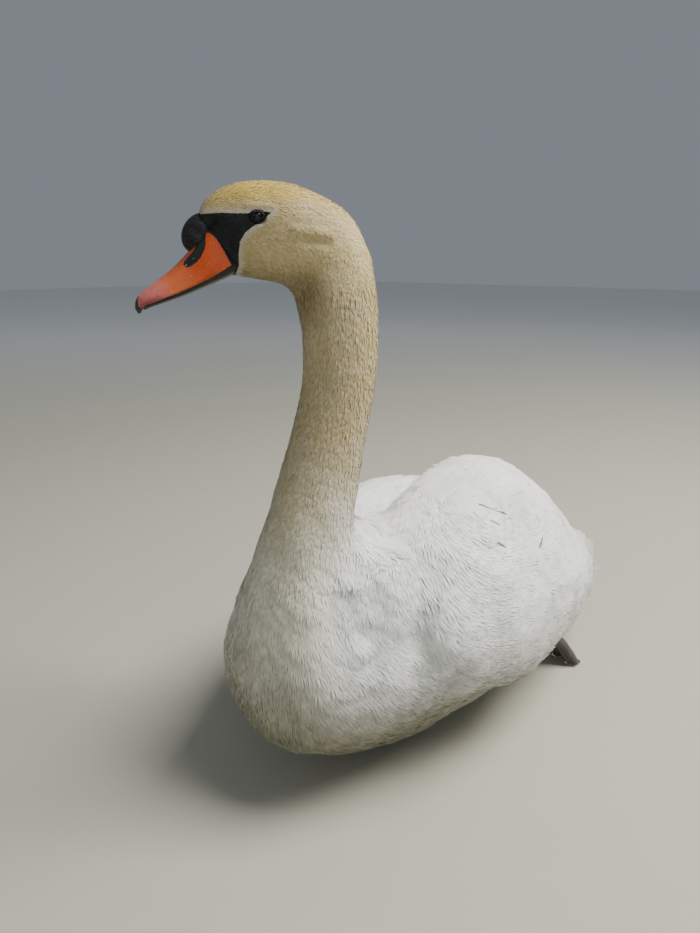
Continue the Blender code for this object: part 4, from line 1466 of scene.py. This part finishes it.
upperPlan = {
    "rings": 88, "tipRings": 22, "around": 88, "tipFrom": 0.070, "tipReach": 0.0125,
    "ridge": 0.0005, "lip": 0.0005, "nail": 0.00045,
    "nostrilLean": 0.42,  # it slants like the patch around it
    # depth, half length and half width
    "hollow": (0.0013, 0.0052, 0.0017), "brow": (0.0004, 0.0070, 0.0014), "browAbove": 0.0034,
}


def buildUpperBill():
    tipFrom, bend = upperPlan["tipFrom"], np.linspace(0, np.pi / 2, upperPlan["tipRings"] + 1)
    steps = np.concatenate([np.linspace(-0.006, tipFrom, upperPlan["rings"])[:-1],
                            tipFrom + upperPlan["tipReach"] * np.sin(bend)])
    angles = turn * np.arange(upperPlan["around"]) / upperPlan["around"] + 0.001
    places, rims = [], []
    for along in steps:
        ridge, edge, width = upperAt(along)
        across, up = superellipse(angles, squareness(along))
        roof = up > 0
        height = np.where(roof, edge + (ridge - edge) * up, edge + 0.0016 * (1 - across**2))
        height += np.where(roof, upperPlan["ridge"] * bell(across, 0.20) * (1 - ramp(along, 0.03, 0.06)), 0)
        lip = bell(up, 0.10) * ramp(along, -0.002, 0.006) * (1 - ramp(along, 0.066, 0.074))
        reach = width * across * (1 + upperPlan["lip"] / width * lip)
        height = height - 0.0007 * lip * (np.abs(across) > 0.8)
        nostrilAlong, nostrilUp = bill["nostril"]
        da, du = along - nostrilAlong, height - nostrilUp
        c, s = math.cos(upperPlan["nostrilLean"]), math.sin(upperPlan["nostrilLean"])
        longWay, shortWay = da * c - du * s, da * s + du * c
        (deep, holeLong, holeShort), (high, browLong, browShort) = upperPlan["hollow"], upperPlan["brow"]
        hollow = bell(longWay, holeLong) * bell(shortWay, holeShort) * (np.abs(across) > 0.35)
        brow = bell(longWay, browLong) * bell(shortWay - upperPlan["browAbove"], browShort) * (
            np.abs(across) > 0.3)
        reach -= np.sign(across) * (deep * hollow - high * brow)
        nail = ramp(along, bill["nailFrom"] - 0.0006, bill["nailFrom"] + 0.0006) * roof * (
            1 - ramp(np.abs(across), 0.72, 0.86))
        height += upperPlan["nail"] * nail
        places += list(zip(reach, np.full(len(angles), along), height))
        rims += list(np.where(roof, edge + (ridge - edge) * up - edge, -0.002))
    mesh, full = ringMesh("upperBill", np.array(places), len(steps))
    rims += [-0.002, 0.0]
    patch = distanceToOutline(full[:, 1:], bill["patch"])
    rear = curveThrough([(up, along) for along, up in bill["orangeRear"]])
    behind = np.array([place[1] - rear(place[2])[0] for place in full])
    storeValues(mesh, "patch", "FLOAT", patch)
    storeValues(mesh, "behind", "FLOAT", behind)
    storeValues(mesh, "rim", "FLOAT", np.array(rims))
    return linkObject("upperBill", mesh)


lowerPlan = {"rings": 61, "around": 48, "squareness": 2.6, "trough": 0.0012, "groove": 0.045}


def buildLowerBill():
    plan = lowerPlan
    first, last = bill["lower"][0][0], bill["lower"][-1][0]
    steps = first + (last - first) * (1 - np.cos(np.linspace(0, np.pi, plan["rings"]))) / 2
    angles = turn * np.arange(plan["around"]) / plan["around"] + 0.001
    across, up = superellipse(angles, plan["squareness"])
    places = []
    for along in steps:
        low, edge, width = lowerAt(along)
        trough = plan["trough"] * (1 - across**2)  # hollow between its two edges
        height = np.where(up > 0, edge - trough * ramp(up, 0.0, 0.2), edge + (edge - low) * up)
        groove = bell(up + 0.42, 0.10) * (1 - ramp(along, 0.060, 0.072))
        reach = width * across * (1 - plan["groove"] * groove)
        places += list(zip(reach, np.full(len(angles), along), height))
    mesh, _ = ringMesh("lowerBill", np.array(places), len(steps))
    return linkObject("lowerBill", mesh)


billColours = {
    "orange": (0.57, 0.070, 0.002),
    "salmon": (0.62, 0.125, 0.032),
    "pink": (0.60, 0.16, 0.135),
    "rosy": (0.30, 0.045, 0.045),
    "fleck": (0.62, 0.40, 0.16),
    "speck": (0.07, 0.018, 0.012),
    "black": (0.006, 0.006, 0.007),
    "glint": (0.20, 0.22, 0.235),
    # painted rim light along the underside of the lower mandible
    "underside": (0.16, 0.13, 0.12),
    "dusty": (0.10, 0.09, 0.085),
}
# daylight seen through the nostril: place along and up the bill, and radius
nostrilGlints = [(0.0276, 0.0056, 0.0010), (0.0196, 0.0068, 0.0007)]


def upperBillFinish():
    finish, tree, shader = newFinish(
        "billHorn", specular=0.42, coat=0.08, coatRoughness=0.25, subsurface=0.06, subsurfaceScale=0.002,
        subsurfaceRadius=(1.0, 0.85, 0.7))
    place, rim = attributeWire(tree, "billPlace", "Vector"), attributeWire(tree, "rim")
    _, ahead, up = place.axes()
    cloud = place.cloud(170.0, 4.0, Roughness=0.6)
    fine, few = place.cloud(900.0, 3.0), place.cloud(260.0, 0.0)
    cells = place.cells(420.0, "F1")
    along = ahead + (cloud - 0.5) * 0.016
    flecks = cells.ramp(0.28, 0.14) * few.ramp(0.52, 0.60)
    colour = billColours["orange"]
    for share, name in (
            (along.ramp(0.016, 0.042), "salmon"), (along.ramp(0.044, 0.060), "pink"),
            (along.ramp(0.048, 0.066) * rim.ramp(0.0052, 0.0012) * 0.85, "rosy"),
            (cloud.ramp(0.52, 0.72) * 0.30, "rosy"), (flecks * 0.40, "fleck"),
            (cells.ramp(0.22, 0.10) * few.ramp(0.42, 0.36) * 0.8, "speck")):
        colour = mixColour(share, colour, billColours[name])
    ragged = (fine - 0.5) * 0.0012
    black = (rim + ragged).ramp(0.0006, 0.0001)
    for name in ("patch", "behind"):
        black = black.most((attributeWire(tree, name) + ragged).ramp(0.0002, -0.0002))
    for slope in (0.55, -0.25):  # a black band round the tip
        black = black.most((ahead + up * slope + ragged).ramp(0.0774, 0.0788))
    colour = mixColour(black, colour, billColours["black"])
    for glintAlong, glintUp, radius in nostrilGlints:
        away = place.vector("SUBTRACT", (0.0, glintAlong, glintUp)).vector("MULTIPLY", (0.0, 0.8, 1.3))
        colour = mixColour(away.vector("LENGTH").ramp(radius, radius * 0.5), colour, billColours["glint"])
    feed(shader.inputs["Base Color"], colour)
    feed(shader.inputs["Roughness"], cloud.ramp(0.0, 1.0, 0.34, 0.52, "LINEAR"))
    bumpFrom(shader, fine + flecks * -0.6, 0.35, 0.0004)
    return finish


def lowerBillFinish():
    finish, tree, shader = newFinish("lowerBillHorn", roughness=0.46, specular=0.4)
    place = attributeWire(tree, "billPlace", "Vector")
    cloud = place.cloud(300.0, 4.0)
    _, ahead, up = place.axes()
    # the underside is painted paler than the two flanks: painted rim light
    rimLight = (up + ahead * -0.17).ramp(-0.0185, -0.0205)
    colour = mixColour(rimLight * 0.8, billColours["black"], billColours["underside"])
    feed(shader.inputs["Base Color"], mixColour(cloud * 0.15, colour, billColours["dusty"]))
    bumpFrom(shader, cloud, 0.4, 0.0004)
    return finish


def blackSkinFinish(name, roughness, specular):
    finish, tree, shader = newFinish(name, roughness=roughness, specular=specular)
    wrinkles = attributeWire(tree, "headPlace", "Vector").squeezed((1.0, 0.5, 2.2)).cloud(
        420.0, 4.0, Distortion=0.8)
    feed(shader.inputs["Base Color"], wrinkleSheenBlack(wrinkles, 0.40))
    bumpFrom(shader, wrinkles, 0.8, 0.0009)
    return finish


def eyeFinish():
    finish, tree, shader = newFinish("eyeball", roughness=0.12, specular=0.30, coat=0.25, coatRoughness=0.04)
    shade = addNode(tree, "ShaderNodeValToRGB", Fac=attributeWire(tree, "fromGaze"))
    stops = shade.color_ramp.elements
    stops.remove(stops[1])
    stops[0].color = (*eyePlan["pupil"], 1)
    for place, colour in eyePlan["rings"]:
        stops.new(place).color = (*colour, 1)
    feed(shader.inputs["Base Color"], Wire(tree, shade.outputs["Color"]))
    return finish


def sphereGrid(columns, rows):
    theta = np.pi * np.arange(1, rows) / rows
    phi = turn * np.arange(columns) / columns
    return [np.stack([np.full(columns, math.cos(t)), math.sin(t) * np.cos(phi), math.sin(t) * np.sin(phi)], 1)
            for t in theta]


def roundBody(name, shape):
    rings = sphereGrid(48, 30)
    places = [shape(ring) for ring in rings]
    mesh = loftMesh(name, [list(posed(ring)) for ring in places])
    everything = np.concatenate(places + [[places[0].mean(axis=0)], [places[-1].mean(axis=0)]])
    storeValues(mesh, "headPlace", "FLOAT_VECTOR", everything)
    mesh.shade_smooth()
    return linkObject(name, mesh)


def knobShape(unit):
    x, y, z = (unit * knobPlan["radii"]).T
    waist = 1 - 0.05 * np.cos(9 * unit[:, 2]) * (unit[:, 1] > -0.6)
    cosine, sine = math.cos(knobPlan["tilt"]), math.sin(knobPlan["tilt"])
    turned = np.stack([x * waist, y * cosine - z * sine, y * sine + z * cosine], 1)
    return turned + np.array(knobPlan["centre"])


eyePlan = {"centre": (0.0200, -0.2252, 0.5314), "radius": 0.0060, "cornea": 0.0003,
           "pupil": (0.002, 0.002, 0.002),  # then the rings round it: how far out, and colour
           "rings": [(0.30, (0.002, 0.002, 0.002)), (0.36, (0.045, 0.018, 0.008)),
                     (0.62, (0.028, 0.012, 0.006)), (0.70, (0.004, 0.003, 0.003))],
           # lid: distance from the middle of the eye, and how far out to the side
           "lid": [(0.00335, 0.0243), (0.00350, 0.0253), (0.00385, 0.0258), (0.00430, 0.0257),
                   (0.00480, 0.0251), (0.0054, 0.0244), (0.0060, 0.0218), (0.0036, 0.0218)]}


def buildEye(side):
    def shape(unit):
        bulge = 1 + eyePlan["cornea"] / eyePlan["radius"] * bell(1 - unit[:, 0], 0.10)
        found = unit * (eyePlan["radius"] * bulge)[:, None] * (side, 1, 1)
        return found + np.array(eyePlan["centre"]) * (side, 1, 1)
    eye = roundBody(sideName("eyeball", side), shape)
    away = [[np.arccos(ring[0, 0])] * len(ring) for ring in sphereGrid(48, 30)]
    away = np.concatenate(away + [[0.0, np.pi]])
    storeValues(eye.data, "fromGaze", "FLOAT", away / np.pi * 2)
    eye.data.materials.append(eyeFinish())
    return eye


def buildLids(side):
    _, cy, cz = eyePlan["centre"]
    rings = []
    for k in range(56):
        a = turn * k / 56
        c, s = math.cos(a), math.sin(a)
        almond = 1.08 - 0.24 * s * s + 0.16 * max(math.cos(a - math.radians(12)), 0) ** 8
        wrinkle = 0.00010 * math.sin(11 * a) * math.sin(5 * a + 1)
        rings.append([(side * (out + wrinkle), cy + c * r * almond, cz + s * r * almond)
                      for r, out in eyePlan["lid"]])
    straight = np.array([p for ring in rings for p in ring])
    faces = tubeFaces(len(rings), len(rings[0]), closed=True)
    mesh = meshFrom(sideName("eyelids", side), posed(straight), faces)
    tidyNormals(mesh)
    storeValues(mesh, "headPlace", "FLOAT_VECTOR", straight)
    mesh.shade_smooth()
    return linkObject(mesh.name, mesh)


upperBill, lowerBill = buildUpperBill(), buildLowerBill()
upperBill.data.materials.append(upperBillFinish())
lowerBill.data.materials.append(lowerBillFinish())
knob = roundBody("knobPiece", knobShape)
knob.data.materials.append(blackSkinFinish("bareBlackSkin", 0.52, 0.30))
lidSkin = blackSkinFinish("eyelidSkin", 0.70, 0.12)
eyes = {side: buildEye(side) for side in (1, -1)}
lids = {side: buildLids(side) for side in (1, -1)}
for side in (1, -1):
    lids[side].data.materials.append(lidSkin)
headParts = [
    (upperBill, "orange_bill", ["bill_upper"]), (lowerBill, "black_skin", ["bill_lower"]),
    (knob, "black_skin", ["knob"]), (eyes[1], "eye", ["eye_left"]), (eyes[-1], "eye", ["eye_right"]),
    (lids[1], "black_skin", []), (lids[-1], "black_skin", []),
]
for piece, slot, replaced in headParts:
    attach(piece, "root")
    if replaced:
        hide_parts(*replaced)
print("bill, knob and eyes are made")

# Folded webbed feet, and their claws.
footPlan = {
    "joint": (0.088, 0.152),
    "turn": math.radians(14),
    # spread and length of the inner, middle and outer toe
    "toes": [(-0.019, 0.92), (0.000, 1.00), (0.020, 0.90)],
    # share of the spread, how far back, how high
    "toePath": [(0.0, 0.0, 0.0400), (0.45, 0.016, 0.0330), (0.80, 0.029, 0.0160), (1.0, 0.037, 0.0045)],
    "toeRadii": [0.0086, 0.0066, 0.0056, 0.0046],
    "shank": [(-0.012, -0.095, 0.030), (-0.008, -0.055, 0.027), (-0.002, -0.018, 0.033), (0.0, 0.0, 0.040)],
    "shankRadii": [0.0080, 0.0068, 0.0075, 0.0094],
    "voxel": 0.0009,
    "webHalf": 0.0011,
    "claw": [(1.0, 0.0385, 0.0052), (1.01, 0.0415, 0.0050), (1.02, 0.0445, 0.0036), (1.02, 0.0465, 0.0010)],
    "clawRadii": [0.0026, 0.0023, 0.0015, 0.0004],
    "heel": 0.0103,
    "colours": {"dark": (0.060, 0.050, 0.046), "pale": (0.150, 0.125, 0.112), "gap": (0.022, 0.020, 0.020)},
}


def footPoint(side, across, back, up):
    c, s = math.cos(footPlan["turn"]), math.sin(footPlan["turn"])
    x, y = footPlan["joint"]
    return Vector((side * (x + across * c + back * s), y - across * s + back * c, up))


def limbRings(path, radii, steps, sides, knuckles=0.0):
    along = curveThrough([(k, *p, r) for k, (p, r) in enumerate(zip(path, radii))])
    rings = []
    for k in range(steps + 1):
        at = (len(path) - 1) * k / steps
        x, y, z, radius = along(at)
        ahead = (Vector(along(at + 0.05)[:3]) - Vector(along(at - 0.05)[:3])).normalized()
        right = ahead.cross(Vector((0, 0, 1))).normalized()
        up = right.cross(ahead)
        radius *= 1 + knuckles * math.cos(turn * at)
        angles = [turn * j / sides for j in range(sides)]
        rings.append([Vector((x, y, z)) + (right * math.cos(a) + up * math.sin(a)) * radius for a in angles])
    return rings


def webSheet(name, pathA, pathB):
    a, b = (curveThrough([(k, *p) for k, p in enumerate(path)]) for path in (pathA, pathB))
    steps, across, half = 22, 14, footPlan["webHalf"]
    sheets = ([], [])
    for k in range(steps + 1):
        at = (len(pathA) - 1) * k / steps
        for j in range(across + 1):
            u = j / across
            p = Vector(a(at)).lerp(Vector(b(at)), u)
            slack = math.sin(math.pi * u)
            p.y -= 0.007 * slack + 0.0012 * slack * math.cos(3 * turn * u)  # slack skin lies in pleats
            p.z = max(p.z - 0.004 * slack, half + 0.0008)
            for sheet, way in zip(sheets, (1, -1)):
                sheet.append(p + Vector((0, half * 0.7, half)) * way)
    row, count, faces = across + 1, len(sheets[0]), gridFaces(steps, across)
    rim = [k * row for k in range(steps)] + [steps * row + j for j in range(across)]
    rim += [(steps - k) * row + across for k in range(steps)] + [across - j for j in range(across)]
    solid = faces + [tuple(count + v for v in reversed(f)) for f in faces]
    solid += [(p, q, count + q, count + p) for p, q in zip(rim, rim[1:] + rim[:1])]
    mesh = meshFrom(name, sheets[0] + sheets[1], solid)
    tidyNormals(mesh)
    return mesh


def toePaths(side, places):
    return [[footPoint(side, spread * share, back * length, up) for share, back, up in places]
            for spread, length in footPlan["toes"]]


def buildFoot(side):
    plan = footPlan
    toes = toePaths(side, plan["toePath"])
    shank = [footPoint(side, *place) for place in plan["shank"]]
    parts = [loftMesh("shank", limbRings(shank, plan["shankRadii"], 30, 20))]
    parts += [loftMesh("toe", limbRings(path, plan["toeRadii"], 30, 18, 0.05)) for path in toes]
    parts += [webSheet("web", a, b) for a, b in zip(toes, toes[1:])]
    joined = joinedWork(parts)
    bmesh.ops.create_uvsphere(joined, u_segments=24, v_segments=16, radius=plan["heel"],
                              matrix=Matrix.Translation(toes[1][0]))
    name = sideName("foot", side)
    foot = remeshed(written(joined, bpy.data.meshes.new(name)), name, plan["voxel"], 5)
    largestShell(foot.data)
    points = vertexArray(foot.data)
    points[:, 2] = np.maximum(points[:, 2], 0.0)
    setVertices(foot.data, points)
    foot.data.shade_smooth()
    return foot


def buildClaws(side):
    claws = [loftMesh("claw", limbRings(path, footPlan["clawRadii"], 14, 14))
             for path in toePaths(side, footPlan["claw"])]
    mesh = written(joinedWork(claws), bpy.data.meshes.new(sideName("claws", side)))
    mesh.shade_smooth()
    return linkObject(mesh.name, mesh)


def footFinish():
    finish, tree, shader = newFinish("slateFootSkin", roughness=0.55, specular=0.35)
    place, look = objectPlace(tree), footPlan["colours"]
    scales = place.cells(520.0, "DISTANCE_TO_EDGE")
    colour = mixColour(place.cloud(60.0, 4.0), look["dark"], look["pale"])
    feed(shader.inputs["Base Color"], mixColour(scales.ramp(0.12, 0.02) * 0.5, colour, look["gap"]))
    bumpFrom(shader, scales.ramp(0.0, 0.15), 0.5, 0.0005)
    return finish


slate = footFinish()
clawHorn, _, _ = newFinish("clawHorn", colour=(0.020, 0.018, 0.017), roughness=0.35, specular=0.45)
for side, node in ((1, "leg_left"), (-1, "leg_right")):
    foot, claws = buildFoot(side), buildClaws(side)
    foot.data.materials.append(slate)
    claws.data.materials.append(clawHorn)
    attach(foot, "root")
    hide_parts(node)
    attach(claws, "root")
print("feet and claws are made")

for piece in plumagePieces:
    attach(piece, "root")
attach(skin, "root")
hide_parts(*fleshNodes)
